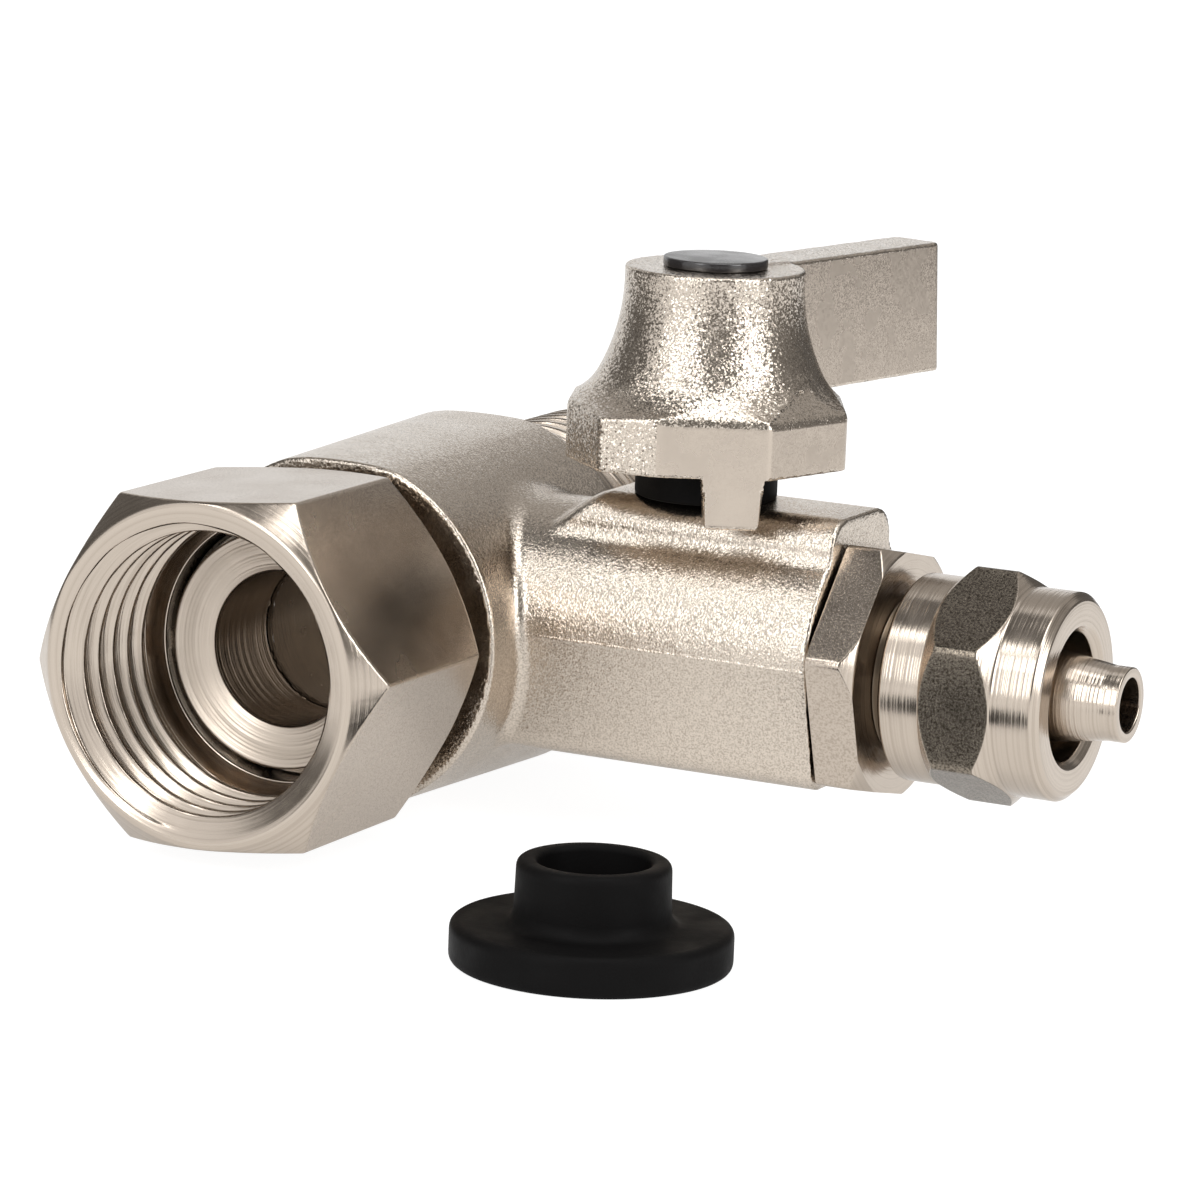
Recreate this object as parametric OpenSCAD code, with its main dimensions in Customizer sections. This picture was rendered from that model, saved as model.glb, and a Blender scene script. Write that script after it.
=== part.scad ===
// Hose splitter valve: a tee with a swivel nut, a threaded outlet and a ball valve on its branch.
// Millimetres. The origin is the tee's centre, where the run's axis crosses the branch's axis.
// The run lies along Y with the inlet at -Y, the branch leaves along +X and the stem stands along +Z.

/* [Run] */
// Centre of the tee to the sealing face of the inlet tail
inlet_len = 19.1; // [18.4:0.1:21]
// Centre of the tee to the end of the outlet thread
outlet_len = 29; // [25:0.5:34]
// Outside diameter of the inlet tail, which the swivel nut turns on
tail_d = 16; // [15.4:0.1:16.4]
// Bore through the inlet tail
inlet_bore_d = 10.5; // [8:0.1:12]
// Length of the inlet bore, from the sealing face
inlet_bore_len = 8.5; // [6:0.5:10]
// Bore of the run, drilled from the outlet end
run_bore_d = 14.4; // [12.6:0.1:15.4]
// Mouth diameter of the cone turned into the sealing face
seal_cone_d = 13.4; // [12.4:0.1:14.4]
// Depth of that cone
seal_cone_depth = 0.6; // [0.3:0.1:1]
// Outside diameter of the barrel at its inlet shoulder
barrel_in_d = 24.4; // [23.4:0.1:25.4]
// Outside diameter of the barrel at its outlet shoulder
barrel_out_d = 25.6; // [24.8:0.1:26.6]
// Centre of the tee to the inlet shoulder
barrel_in = 11.5; // [10:0.5:12]
// Centre of the tee to the outlet shoulder
barrel_out = 9.4; // [9:0.2:12]
// Rounding of both shoulders
barrel_round = 1.2; // [0.5:0.1:2]
// Depth of the flat along the barrel's top
top_flat_drop = 0.37; // [0.2:0.01:0.6]
// Diameter of the neck between the barrel and the outlet thread
neck_d = 22.6; // [21.4:0.1:23.4]
// Length of that neck
neck_len = 3.8; // [2.5:0.1:6]
// Crest diameter of the outlet thread, a G 1/2 pipe thread
outlet_thread_d = 20.955; // [20.5:0.005:21.2]
// Pitch of both G 1/2 threads, whose turns the solids show as rings
pipe_pitch = 1.814; // [1.5:0.001:2]
// Depth of both G 1/2 threads
pipe_thread_depth = 1.162; // [0.8:0.001:1.17]
// Diameter of the runout groove behind the outlet thread
runout_d = 18.2; // [17.4:0.1:18.8]
// Width of that groove
runout_len = 1.6; // [1:0.1:2.4]
// Chamfer at the start of the outlet thread
thread_chamfer = 1; // [0.5:0.1:1.5]

/* [Swivel nut] */
// Width across the flats of the swivel nut
nut_af = 23; // [22.6:0.1:25]
// Length of the swivel nut
nut_len = 16; // [15:0.5:18]
// Gap between the nut and the barrel, in which the nut floats
nut_float = 2; // [1:0.1:2.4]
// Turn of the nut as it stands, one corner above the branch's side
nut_turn = 3.4; // [0:0.2:60]
// Crest diameter of the nut's thread, a G 1/2 pipe thread
nut_thread_d = 18.63; // [18.5:0.01:18.9]
// Diameter of the chamfer at the nut's mouth
nut_mouth_d = 21.7; // [21:0.1:22]
// Length of the nut's thread
nut_thread_len = 8; // [7:0.2:8.6]
// Diameter of the runout groove behind the nut's thread
nut_runout_d = 21; // [20.6:0.1:21.4]
// Width of that groove
nut_runout_len = 1.6; // [1:0.1:2]
// Thickness of the nut's back wall
nut_back_wall = 2.8; // [2:0.1:3]
// Radial running clearance of the nut on the tail
nut_clear = 0.08; // [0.04:0.01:0.1]
// Wire diameter of the retaining ring
ring_wire_d = 1.3; // [1:0.05:1.5]
// Opening of the retaining ring, in degrees
ring_open = 24; // [12:2:50]

/* [Branch housing] */
// Centre of the tee to the end of the branch housing
branch_len = 33.5; // [33:0.5:36]
// Stem's axis to the end of the branch housing
stem_from_end = 11.62; // [11.1:0.02:12.3]
// Width of the housing at the mould's parting line
housing_w = 16.4; // [16:0.1:17.4]
// Height of the parting line above the branch's axis
parting_z = 0.9; // [0:0.1:1.4]
// Branch's axis to the housing's underside
housing_drop = 7.5; // [7.2:0.1:8.4]
// Draft of the housing's lower sides, in degrees
housing_draft = 13; // [6:1:16]
// Rounding of the housing's lower edges
housing_round = 1.4; // [0.6:0.1:2]
// Width of the pad under the lever
pad_w = 9.4; // [8.8:0.1:10.4]
// Branch's axis to the top of the pad
pad_z = 10.4; // [10:0.1:11.2]
// Rounding of the pad's long edges
pad_round = 2.2; // [1.6:0.1:2.6]
// Start of the pad to the stem's axis
pad_back = 8.7; // [8:0.1:9.4]
// Waterway from the run to the ball
port_d = 5.8; // [5:0.1:6.4]

/* [Ball and seats] */
// Ball diameter
ball_d = 11; // [10.6:0.1:11.2]
// Bore through the ball
ball_bore_d = 5.4; // [4.6:0.1:5.8]
// Room round the ball in its chamber
ball_room = 0.4; // [0.3:0.05:0.6]
// Gap between each seat ring and the stem's collar
seat_collar_gap = 0.12; // [0.06:0.02:0.2]
// Ball's centre to the back of each seat
seat_reach = 6.2; // [6:0.1:6.4]
// Gap between the ball and its seats
seat_gap = 0.06; // [0.03:0.01:0.1]
// Bore of each seat
seat_bore_d = 5.9; // [5.6:0.1:6.4]

/* [Stem] */
// Stem diameter
stem_d = 5.5; // [5.2:0.1:5.8]
// Radial running clearance of the stem
stem_clear = 0.05; // [0.02:0.01:0.1]
// Diameter of the stem's collar, which stops it blowing out
collar_d = 7.1; // [6.9:0.1:7.3]
// Thickness of the collar
collar_t = 1.2; // [0.8:0.1:1.4]
// Thickness of the thrust washer on the collar
thrust_t = 0.45; // [0.3:0.05:0.6]
// Section diameter of the stem's O-rings
oring_d = 0.9; // [0.8:0.05:1]
// Thickness of the tang that turns the ball
tang_t = 2; // [1.8:0.1:2.4]
// Width of the tang
tang_w = 4.8; // [4:0.1:5]
// Depth of the ball's slot
slot_depth = 1.9; // [1.6:0.1:2.2]
// Width across the flats of the stem's square
square_w = 3.8; // [3.4:0.05:3.85]
// Outside diameter of the black ring round the stem
stem_ring_d = 9.6; // [9:0.1:11]

/* [Lever] */
// Turn of the lever as it stands, from the open position
lever_rest = 81.5; // [0:0.5:90]
// Branch's axis to the underside of the lever's skirt
skirt_z = 13.17; // [13:0.01:14]
// Height of the skirt at its corners
skirt_h = 3.6; // [2.4:0.1:4.4]
// Width across the flats of the eight-sided skirt
skirt_af = 18.14; // [17.6:0.02:19]
// Turn of the skirt's corners from the lever's zero line
skirt_turn = 13.7; // [0:0.1:45]
// Height of the whole hub
hub_h = 12.69; // [12:0.01:14]
// Diameter of the hub's top
hub_top_d = 12.06; // [11.5:0.02:13]
// Height of the straight lip below the top
hub_lip = 0.86; // [0.5:0.02:1.4]
// Radius of the hub's hollow side
hub_curve = 13.7; // [12.5:0.1:15]
// Radius of the curve that flares into the skirt
flare_curve = 4.04; // [3.6:0.02:4.6]
// Lean of the flat facets above the skirt's sides, in degrees
facet_lean = 39.5; // [38:0.5:42]
// Length of those facets, up their slope
facet_len = 1.7; // [1.2:0.1:1.8]
// Turn of the first corner of the lug at the skirt's back
lug_turn_a = 137.5; // [130:0.5:145]
// Stem's axis to that corner
lug_r_a = 9.8; // [9.5:0.1:10]
// Turn of the lug's second corner
lug_turn_b = 171.5; // [165:0.5:178]
// Stem's axis to the second corner
lug_r_b = 10.7; // [10:0.1:10.8]
// Thickness of the blade
blade_t = 4; // [3:0.1:5]
// Turn of the blade from the lever's zero line
blade_turn = -3; // [-6:0.5:6]
// Stem's axis to the blade's tip
blade_reach = 23.85; // [20:0.05:28]
// Rounding of the blade's upright corners
blade_round = 0.7; // [0.3:0.1:1.2]
// Bevel along the blade's top edges
blade_bevel = 0.25; // [0.1:0.05:0.5]
// Width of the stop tab at its root
tab_w = 4.2; // [3:0.1:4.6]
// Width of the stop tab at its tip
tab_tip_w = 3.5; // [2.6:0.1:3.8]
// Length of the stop tab
tab_len = 3.27; // [3:0.01:3.6]
// Diameter of the recess that holds the screw
recess_d = 6.4; // [6:0.1:6.8]
// Thickness of the floor under the screw, from the top of the stem's ring
floor_t = 7.2; // [5:0.1:7.6]
// Thread diameter of the lever's screw
screw_d = 2.5; // [2:0.1:2.6]
// Head diameter of the screw
screw_head_d = 5; // [4.4:0.1:5.6]
// Height of the screw's head
screw_head_h = 1.7; // [1.2:0.1:2]
// Thickness of the spring washer
spring_washer_t = 0.6; // [0.4:0.1:0.8]
// Diameter of the cap over the screw
cap_d = 7; // [6.9:0.02:8]
// Thickness of the cap's disc
cap_t = 0.5; // [0.4:0.1:1]

/* [Outlet fitting] */
// Width across the flats of the insert's hexagon
insert_af = 16; // [15.6:0.1:17]
// Length of the insert's hexagon
insert_hex_len = 3.3; // [2.6:0.1:4.4]
// Turn of the insert's hexagon
insert_turn = 12.2; // [0:0.2:60]
// Thread diameter of the insert in the housing
insert_thread_d = 13; // [12.6:0.1:13.4]
// Gap between the housing and the insert's hexagon
insert_gap = 0.2; // [0.1:0.05:0.4]
// Section diameter of the insert's O-ring
insert_oring_d = 1.1; // [0.9:0.05:1.3]
// Bore of the insert
insert_bore_d = 5.6; // [4.8:0.1:5.9]
// Width of the groove beside the hexagon
groove_len = 1; // [0.6:0.1:1.4]
// Diameter of that groove
groove_d = 10.4; // [9.8:0.1:10.8]
// Crest diameter of the thread that carries the compression nut
tube_thread_d = 12; // [11.8:0.1:12.2]
// Length of that thread
tube_thread_len = 6; // [5:0.1:6.5]
// Diameter of the spigot's root
spigot_root_d = 6.8; // [6.4:0.1:7]
// Diameter of the spigot's tip
spigot_tip_d = 5; // [4.6:0.1:5.6]
// Waterway through the spigot
spigot_bore_d = 3.6; // [3:0.1:3.8]
// Length of the spigot's straight tip
spigot_land = 1.2; // [1:0.1:2]
// End of the branch housing to the spigot's tip
spigot_reach = 19.6; // [18.6:0.1:22]
// Width across the flats of the compression nut
tube_nut_af = 14; // [13.8:0.1:15]
// Turn of the compression nut as it stands
tube_nut_turn = 26.5; // [0:0.5:60]
// Length of the compression nut
tube_nut_len = 11.3; // [10.5:0.1:12]
// Length of the round skirt before the nut's hexagon
tube_nut_skirt = 4.1; // [3.6:0.1:4.6]
// Length of the nut's hexagon along its corners
tube_nut_hex_len = 2.75; // [2.2:0.05:3.4]
// Hole in the nut's end for an 8 mm tube
tube_hole_d = 8.6; // [8.2:0.05:9]
// Radial running clearance of the compression nut on its thread
tube_nut_clear = 0.06; // [0.03:0.01:0.1]

/* [Hat washer] */
// Flange diameter of the washer
washer_d = 17.6; // [17:0.1:18.5]
// Flange thickness
washer_t = 2.6; // [2:0.1:3.4]
// Neck diameter
washer_neck_d = 9.6; // [9.2:0.1:10.4]
// Neck height above the flange
washer_neck_h = 4; // [3:0.1:5]
// Hole through the washer
washer_hole_d = 7.1; // [6.6:0.1:7.8]
// Place of the loose washer on the floor, along X
washer_x = 32.2; // [24:0.1:40]
// Place of the loose washer on the floor, along Y
washer_y = -35.4; // [-48:0.1:-30]

/* [Hidden] */
$fn = 96;
nickel = "#B8AFA5";
bright_nickel = "#C9C2B8";
black = "#1C1A19";
white = "#E9E7E1";
// Gap between still pieces that seat on each other
seat = 0.02;
// Overlap that lets one form run into the next
bite = 0.5;
hex_ratio = 1 / cos(30);

// Run, measured along Y
barrel_length = barrel_in + barrel_out;
neck_end = barrel_out + neck_len;
runout_end = neck_end + runout_len;
inlet_bore_end = inlet_len - inlet_bore_len;
barrel_slope = atan((barrel_out_d - barrel_in_d) / 2 / barrel_length);
floor_z = -barrel_out_d / 2;

// Swivel nut, measured along Y
nut_back = barrel_in + nut_float;
nut_front = nut_back + nut_len;
nut_shoulder = nut_back + nut_back_wall;
nut_mouth_depth = (nut_mouth_d - nut_thread_d) / 2 * 0.75;
nut_thread_end = nut_front - nut_mouth_depth - nut_thread_len;
ring_y = nut_shoulder + ring_wire_d / 2 + 0.05;
ring_room = 0.1;

// Branch, measured along X
stem_x = branch_len - stem_from_end;
pad_start = stem_x - pad_back;
chamber_d = ball_d + 2 * ball_room;
seat_start = collar_d / 2 + stem_clear + seat_collar_gap;
seat_back_in = stem_x - seat_reach;
seat_back_out = stem_x + seat_reach;
hex_start = branch_len + insert_gap;
hex_end = hex_start + insert_hex_len;
groove_end = hex_end + groove_len;
tube_thread_end = groove_end + tube_thread_len;
tube_nut_start = groove_end + 0.05;
tube_nut_end = tube_nut_start + tube_nut_len;
insert_wall_end = tube_thread_end + 1.5;
spigot_end = branch_len + spigot_reach;
oring_room = 0.02;
neck_r = (insert_thread_d - insert_oring_d) / 2;
insert_ring_d = insert_oring_d * 0.86;
tube_nut_thread_end = insert_wall_end + 0.3;

// Stem, measured along Z
collar_z = ball_d / 2 + 0.2;
thrust_z = collar_z + collar_t;
pocket_z = thrust_z + thrust_t + 0.05;
recess_in_skirt = 1.2;
stem_top = skirt_z + recess_in_skirt;
square_top = stem_top + floor_t - 0.4;
screw_floor = stem_top + floor_t;
hub_top = skirt_z + hub_h;
skirt_top = skirt_z + skirt_h;
oring_groove_h = oring_d + 0.1;
oring_land = (pad_z - pocket_z - 2 * oring_groove_h) / 3;
oring_lower_z = pocket_z + oring_land + oring_groove_h / 2;
oring_upper_z = oring_lower_z + oring_groove_h + oring_land;
oring_ring_r = stem_d / 2 + stem_clear - oring_d / 2 - seat;

// Stop tab: it meets the pad's side at 45 degrees on each side of the closed and open positions
stop_gap = 0.08;
tab_turn = -135;
tab_z = skirt_z - tab_len;
pad_drop_at_tab = max(0, tab_z - (pad_z - pad_round));
pad_half_at_tab = pad_w / 2 - pad_round + sqrt(max(0, pow(pad_round, 2) - pow(pad_drop_at_tab, 2)));
tab_in_r = (pad_half_at_tab + stop_gap) / sin(45) + tab_tip_w / 2;
tab_out_r = skirt_af / 2;

// Skirt's flats that carry a facet, counted from the corner at skirt_turn: all but the lug's and the one before it
facet_flats = [0, 1, 5, 6, 7];
facet_drop = 0.06;
lug_corner = 3;
skirt_corner_r = skirt_af / 2 / cos(22.5);

// Flat between the lug's first corner and the corner before it: its turn and its distance from the stem's axis
corner_before = skirt_turn + 45 * (lug_corner - 1);
lug_side_turn = atan2(lug_r_a * cos(lug_turn_a) - skirt_corner_r * cos(corner_before),
    skirt_corner_r * sin(corner_before) - lug_r_a * sin(lug_turn_a)) + 180;
lug_side_r = lug_r_a * cos(lug_side_turn - lug_turn_a);

// Points of an arc about [cx, cy] from angle a to angle b, in n steps
function arc(cx, cy, r, a, b, n) =
    [for (i = [0:n]) [cx + r * cos(a + (b - a) * i / n), cy + r * sin(a + (b - a) * i / n)]];

// Point at radius r and angle a
function polar(r, a) = [r * cos(a), r * sin(a)];

// Left one of the two points where a circle about a with radius ra meets a circle about b with radius rb
function circles_meet(a, ra, b, rb) =
    let (way = b - a, d = norm(way), along = (ra * ra - rb * rb + d * d) / (2 * d),
        off = sqrt(ra * ra - along * along))
    a + way * along / d + [way[1], -way[0]] * off / d;

// Turns a form made along Z so that it lies along Y or along X
module along_y() { rotate([-90, 0, 0]) children(); }
module along_x() { rotate([0, 90, 0]) children(); }

// A straight tube or rod along Z, from a to b
module rod(d, a, b) { translate([0, 0, a]) cylinder(d = d, h = b - a); }

// A cone along Z, from diameter d1 at a to diameter d2 at b
module cone(d1, d2, a, b) { translate([0, 0, a]) cylinder(d1 = d1, d2 = d2, h = b - a); }

// Half profile of thread rings from a to b: crests at radius crest_r, the last ending at b, and grooves to root_r.
// The first crest takes the length that is left over
module ring_profile(crest_r, root_r, a, b, pitch) {
    crest = pitch / 6;
    flank = (pitch - 2 * crest) / 2;
    turns = floor((b - a - crest) / pitch);
    polygon(concat(
        [[0, b], [0, a], [crest_r, a]],
        [for (k = [turns:-1:1], p = [[crest_r, 0], [root_r, flank], [root_r, flank + crest], [crest_r, pitch - crest]])
            [p[0], b - k * pitch + p[1]]],
        [[crest_r, b]]));
}

// A hexagonal prism along Z from a to b, with its corners turned away by a cone at either end
module chamfered_hexagon(af, a, b, bevel_a, bevel_b, turn) {
    corner = af * hex_ratio;
    intersection() {
        rotate([0, 0, turn]) translate([0, 0, a]) cylinder(d = corner, h = b - a, $fn = 6);
        rotate_extrude() polygon([[0, a], [corner / 2 - bevel_a, a], [corner / 2 + seat, a + bevel_a + seat],
            [corner / 2 + seat, b - bevel_b - seat], [corner / 2 - bevel_b, b], [0, b]]);
    }
}

// An O-ring about Z, at height z
module o_ring(ring_r, section_d, z) {
    translate([0, 0, z]) rotate_extrude() translate([ring_r, 0]) circle(d = section_d);
}

// Barrel of the run: a drafted round form with rounded shoulders and a flat along its top
module run_barrel() {
    difference() {
        along_y() rotate_extrude() polygon(concat(
            [[0, -barrel_in]],
            arc(barrel_in_d / 2 - barrel_round, barrel_round - barrel_in, barrel_round, -90, 0, 4),
            arc(barrel_out_d / 2 - barrel_round, barrel_out - barrel_round, barrel_round, 0, 90, 4),
            [[0, barrel_out]]));
        translate([0, -barrel_in, barrel_in_d / 2 - top_flat_drop]) rotate([barrel_slope, 0, 0])
            translate([-barrel_in_d / 2, -bite, 0]) cube([barrel_in_d, barrel_length + 2 * bite, barrel_in_d]);
    }
}

// Tail that carries the swivel nut, and the threaded outlet at the other end of the run
module run_ends() {
    along_y() {
        rod(tail_d, -inlet_len, -barrel_in + bite);
        rod(neck_d, barrel_out - bite, neck_end);
        rod(runout_d, neck_end - bite, outlet_len - thread_chamfer);
        rotate_extrude() ring_profile(outlet_thread_d / 2, outlet_thread_d / 2 - pipe_thread_depth,
            runout_end, outlet_len - thread_chamfer, pipe_pitch);
        cone(outlet_thread_d, outlet_thread_d - 2 * thread_chamfer, outlet_len - thread_chamfer, outlet_len);
    }
}

// Cross-section of the branch housing in the Y-Z plane, below the pad
module housing_section() {
    slope = tan(housing_draft);
    foot = housing_w / 2 - (parting_z + housing_drop) * slope;
    corner_y = foot - housing_round * (1 / cos(housing_draft) - slope);
    corner_z = housing_round - housing_drop;
    translate([0, parting_z]) circle(d = housing_w);
    polygon(concat(
        [[housing_w / 2, parting_z], [-housing_w / 2, parting_z]],
        arc(-corner_y, corner_z, housing_round, 180 + housing_draft, 270, 4),
        arc(corner_y, corner_z, housing_round, 270, 360 - housing_draft, 4)));
}

// Cross-section of the pad that the lever stands on
module pad_section() {
    edge = pad_w / 2 - pad_round;
    translate([-pad_w / 2, 0]) square([pad_w, pad_z - pad_round]);
    translate([-edge, 0]) square([2 * edge, pad_z]);
    for (side = [-1, 1]) translate([side * edge, pad_z - pad_round]) circle(r = pad_round);
}

// A section in the Y-Z plane carried along X from a to b
module carry_x(a, b) {
    translate([a, 0, 0]) rotate([90, 0, 90]) linear_extrude(height = b - a) children();
}

// Branch housing with the pad on top, whose near end slopes down to the housing
module branch_housing() {
    carry_x(0, branch_len) housing_section();
    difference() {
        carry_x(pad_start, branch_len) pad_section();
        translate([pad_start, 0, pad_z - pad_round]) rotate([0, -45, 0])
            translate([-pad_w, -pad_w, 0]) cube([pad_w * 2, pad_w * 2, pad_w]);
    }
}

// Cast and drilled body of the valve
module valve_body() {
    color(nickel) difference() {
        union() {
            run_barrel();
            run_ends();
            branch_housing();
        }
        along_y() {
            rod(inlet_bore_d, -inlet_len - bite, -inlet_bore_end + bite);
            cone(seal_cone_d, inlet_bore_d, -inlet_len - seat, -inlet_len + seal_cone_depth);
            rod(run_bore_d, -inlet_bore_end, outlet_len + bite);
            translate([0, 0, -ring_y]) rotate_extrude()
                translate([tail_d / 2 + ring_room - ring_wire_d / 2 - seat, -ring_wire_d / 2 - 0.05])
                square([tail_d, ring_wire_d + 0.1]);
        }
        along_x() {
            rod(port_d, 0, seat_back_in + bite);
            rod(chamber_d, seat_back_in, branch_len + bite);
            rod(insert_thread_d, seat_back_out, branch_len + bite);
            cone(insert_thread_d, insert_thread_d + 2 * insert_oring_d, branch_len - insert_oring_d, branch_len + seat);
        }
        translate([stem_x, 0, 0]) {
            rod(collar_d + 2 * stem_clear, 0, pocket_z);
            rod(stem_d + 2 * stem_clear, 0, pad_z + bite);
        }
    }
}

// Nut that fastens the inlet and turns freely on the tail
module swivel_nut() {
    bevel = nut_af * (hex_ratio - 0.985) / 2;
    color(nickel) along_y() difference() {
        chamfered_hexagon(nut_af, -nut_front, -nut_back, bevel, bevel, -nut_turn);
        cone(nut_mouth_d, nut_thread_d, -nut_front - seat, -nut_front + nut_mouth_depth);
        rod(nut_thread_d, -nut_front - bite, -nut_thread_end + bite);
        mirror([0, 0, 1]) rotate_extrude() ring_profile(nut_thread_d / 2, nut_thread_d / 2 + pipe_thread_depth,
            nut_thread_end, nut_thread_end + nut_thread_len, pipe_pitch);
        rod(nut_runout_d, -nut_thread_end, -nut_thread_end + nut_runout_len);
        rod(tail_d + 2 * (ring_wire_d / 2 + 2 * ring_room), -nut_thread_end, -nut_shoulder);
        rod(tail_d + 2 * nut_clear, -nut_shoulder - bite, -nut_back + bite);
    }
}

// Open wire ring in the tail's groove, which keeps the nut on
module nut_retaining_ring() {
    color(bright_nickel) along_y() translate([0, 0, -ring_y]) rotate([0, 0, 90 + ring_open / 2])
        rotate_extrude(angle = 360 - ring_open) translate([tail_d / 2 + ring_room, 0]) circle(d = ring_wire_d, $fn = 48);
}

// Loose rubber washer with a neck, which seals the inlet
module hat_washer() {
    lip = (washer_neck_d - washer_hole_d) / 2;
    color(black) translate([washer_x, washer_y, floor_z]) rotate_extrude() polygon(concat(
        [[washer_hole_d / 2, 0], [washer_d / 2 - 0.3, 0], [washer_d / 2, 0.3],
            [washer_d / 2, washer_t - 0.3], [washer_d / 2 - 0.3, washer_t]],
        arc(washer_neck_d / 2 + 0.6, washer_t + 0.6, 0.6, 270, 180, 3),
        arc(washer_hole_d / 2, washer_t + washer_neck_h - lip, lip, 0, 90, 5)));
}

// Seat ring with its dished face towards the ball, standing off the ball's centre along +X
module seat_ring() {
    color(white) difference() {
        along_x() difference() {
            rod(chamber_d - 2 * seat, seat_start, seat_reach - seat);
            rod(seat_bore_d, 0, seat_reach + bite);
        }
        sphere(d = ball_d + 2 * seat_gap);
    }
}
module inner_seat() { translate([stem_x, 0, 0]) mirror([1, 0, 0]) seat_ring(); }
module outer_seat() { translate([stem_x, 0, 0]) seat_ring(); }

// Ball, drilled through and slotted across its bore for the stem
module branch_ball() {
    color(bright_nickel) translate([stem_x, 0, 0]) rotate([0, 0, lever_rest]) difference() {
        sphere(d = ball_d);
        along_x() rod(ball_bore_d, -ball_d, ball_d);
        translate([-tang_t / 2 - stem_clear, -ball_d / 2, ball_d / 2 - slot_depth])
            cube([tang_t + 2 * stem_clear, ball_d, ball_d]);
    }
}

// Stem: tang, collar, round shank with two O-ring grooves and a square with a tapped hole
module stem() {
    color(bright_nickel) translate([stem_x, 0, 0]) rotate([0, 0, lever_rest]) difference() {
        union() {
            translate([-tang_t / 2, -tang_w / 2, ball_d / 2 - slot_depth + 0.15])
                cube([tang_t, tang_w, collar_z - ball_d / 2 + slot_depth]);
            rod(collar_d, collar_z, thrust_z);
            rod(stem_d, collar_z, stem_top);
            translate([-square_w / 2, -square_w / 2, stem_top - bite]) cube([square_w, square_w, square_top - stem_top + bite]);
        }
        for (z = [oring_lower_z, oring_upper_z])
            translate([0, 0, z - oring_groove_h / 2]) rotate_extrude()
                translate([oring_ring_r - oring_d / 2 - seat, 0]) square([stem_d, oring_groove_h]);
        rod(screw_d, stem_top + 1, square_top + bite);
    }
}

// Thin washer between the stem's collar and the housing
module stem_thrust_washer() {
    color(white) translate([stem_x, 0, 0]) difference() {
        rod(collar_d, thrust_z + seat, pocket_z - seat);
        rod(stem_d + 2 * stem_clear, 0, pad_z);
    }
}
module stem_o_ring_lower() { color(black) translate([stem_x, 0, 0]) o_ring(oring_ring_r, oring_d, oring_lower_z); }
module stem_o_ring_upper() { color(black) translate([stem_x, 0, 0]) o_ring(oring_ring_r, oring_d, oring_upper_z); }

// Black ring that fills the space between the pad and the lever
module stem_ring() {
    color(black) translate([stem_x, 0, 0]) difference() {
        rod(stem_ring_d, pad_z, stem_top - 0.08);
        rod(stem_d + 4 * stem_clear, 0, stem_top);
    }
}

// Outline of the blade in plan, its root on the stem's axis
module blade_plan() {
    edge = blade_t / 2 - blade_round;
    translate([0, -blade_t / 2]) square([blade_reach - blade_round, blade_t]);
    translate([0, -edge]) square([blade_reach, 2 * edge]);
    for (side = [-1, 1]) translate([blade_reach - blade_round, side * edge]) circle(r = blade_round, $fn = 32);
}

// Blade: an upright plate with a bevel along both top edges
module blade() {
    bevel_side = blade_bevel * sqrt(2);
    rotate([0, 0, blade_turn]) difference() {
        translate([0, 0, skirt_top]) linear_extrude(height = hub_top - skirt_top) blade_plan();
        for (side = [-1, 1]) translate([blade_reach / 2, side * blade_t / 2, hub_top])
            rotate([45, 0, 0]) cube([blade_reach + bite, bevel_side, bevel_side], center = true);
    }
}

// Stop tab: drafted on both sides and flush with the skirt's flat
module stop_tab() {
    rotate([0, 0, tab_turn]) rotate([90, 0, 90]) translate([0, 0, tab_in_r])
        linear_extrude(height = tab_out_r - tab_in_r)
        polygon([[-tab_tip_w / 2, tab_z], [tab_tip_w / 2, tab_z], [tab_w / 2, skirt_z + bite], [-tab_w / 2, skirt_z + bite]]);
}

// Half profile of the hub: a hollow side that runs tangent into the flare over the skirt
module hub_profile() {
    side = [hub_top_d / 2 + hub_curve, hub_top - hub_lip];
    flare = circles_meet(side, hub_curve - flare_curve, [skirt_corner_r, skirt_top], flare_curve);
    join = 180 + atan((side[1] - flare[1]) / (side[0] - flare[0]));
    polygon(concat(
        [[0, skirt_z], [flare[0], skirt_z]],
        arc(flare[0], flare[1], flare_curve, 270, join, 10),
        arc(side[0], side[1], hub_curve, join, 180, 10),
        [[hub_top_d / 2, hub_top], [0, hub_top]]));
}

// Plan of the skirt: eight corners, of which the lug's two take the place of one
module skirt_plan() {
    polygon([for (k = [0:7]) each k == lug_corner
        ? [polar(lug_r_a, lug_turn_a), polar(lug_r_b, lug_turn_b)]
        : [polar(skirt_corner_r, skirt_turn + k * 45)]]);
}

// What a facet takes off above the skirt's flat at that turn and distance from the stem's axis
module leaning_cut(turn, distance) {
    rotate([0, 0, turn]) translate([distance, 0, skirt_top - facet_drop]) rotate([0, -facet_lean, 0])
        translate([0, -skirt_af / 2, -bite]) cube([skirt_af, skirt_af, facet_len + bite]);
}

// Lever: hollow-sided hub on an eight-sided skirt, with flat facets, the blade and the stop tab
module lever_handle() {
    color(nickel) translate([stem_x, 0, 0]) rotate([0, 0, lever_rest]) difference() {
        union() {
            difference() {
                intersection() {
                    rotate_extrude() hub_profile();
                    translate([0, 0, skirt_z - bite]) linear_extrude(height = hub_h + 2 * bite) skirt_plan();
                }
                for (flat = facet_flats) leaning_cut(skirt_turn + 22.5 + flat * 45, skirt_af / 2);
                leaning_cut(lug_side_turn, lug_side_r);
            }
            blade();
            stop_tab();
        }
        rod(stem_ring_d + 0.3, skirt_z - bite, stem_top);
        translate([-square_w / 2 - 0.05, -square_w / 2 - 0.05, skirt_z]) cube([square_w + 0.1, square_w + 0.1, hub_h]);
        rod(recess_d, screw_floor, hub_top + bite);
    }
}

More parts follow.
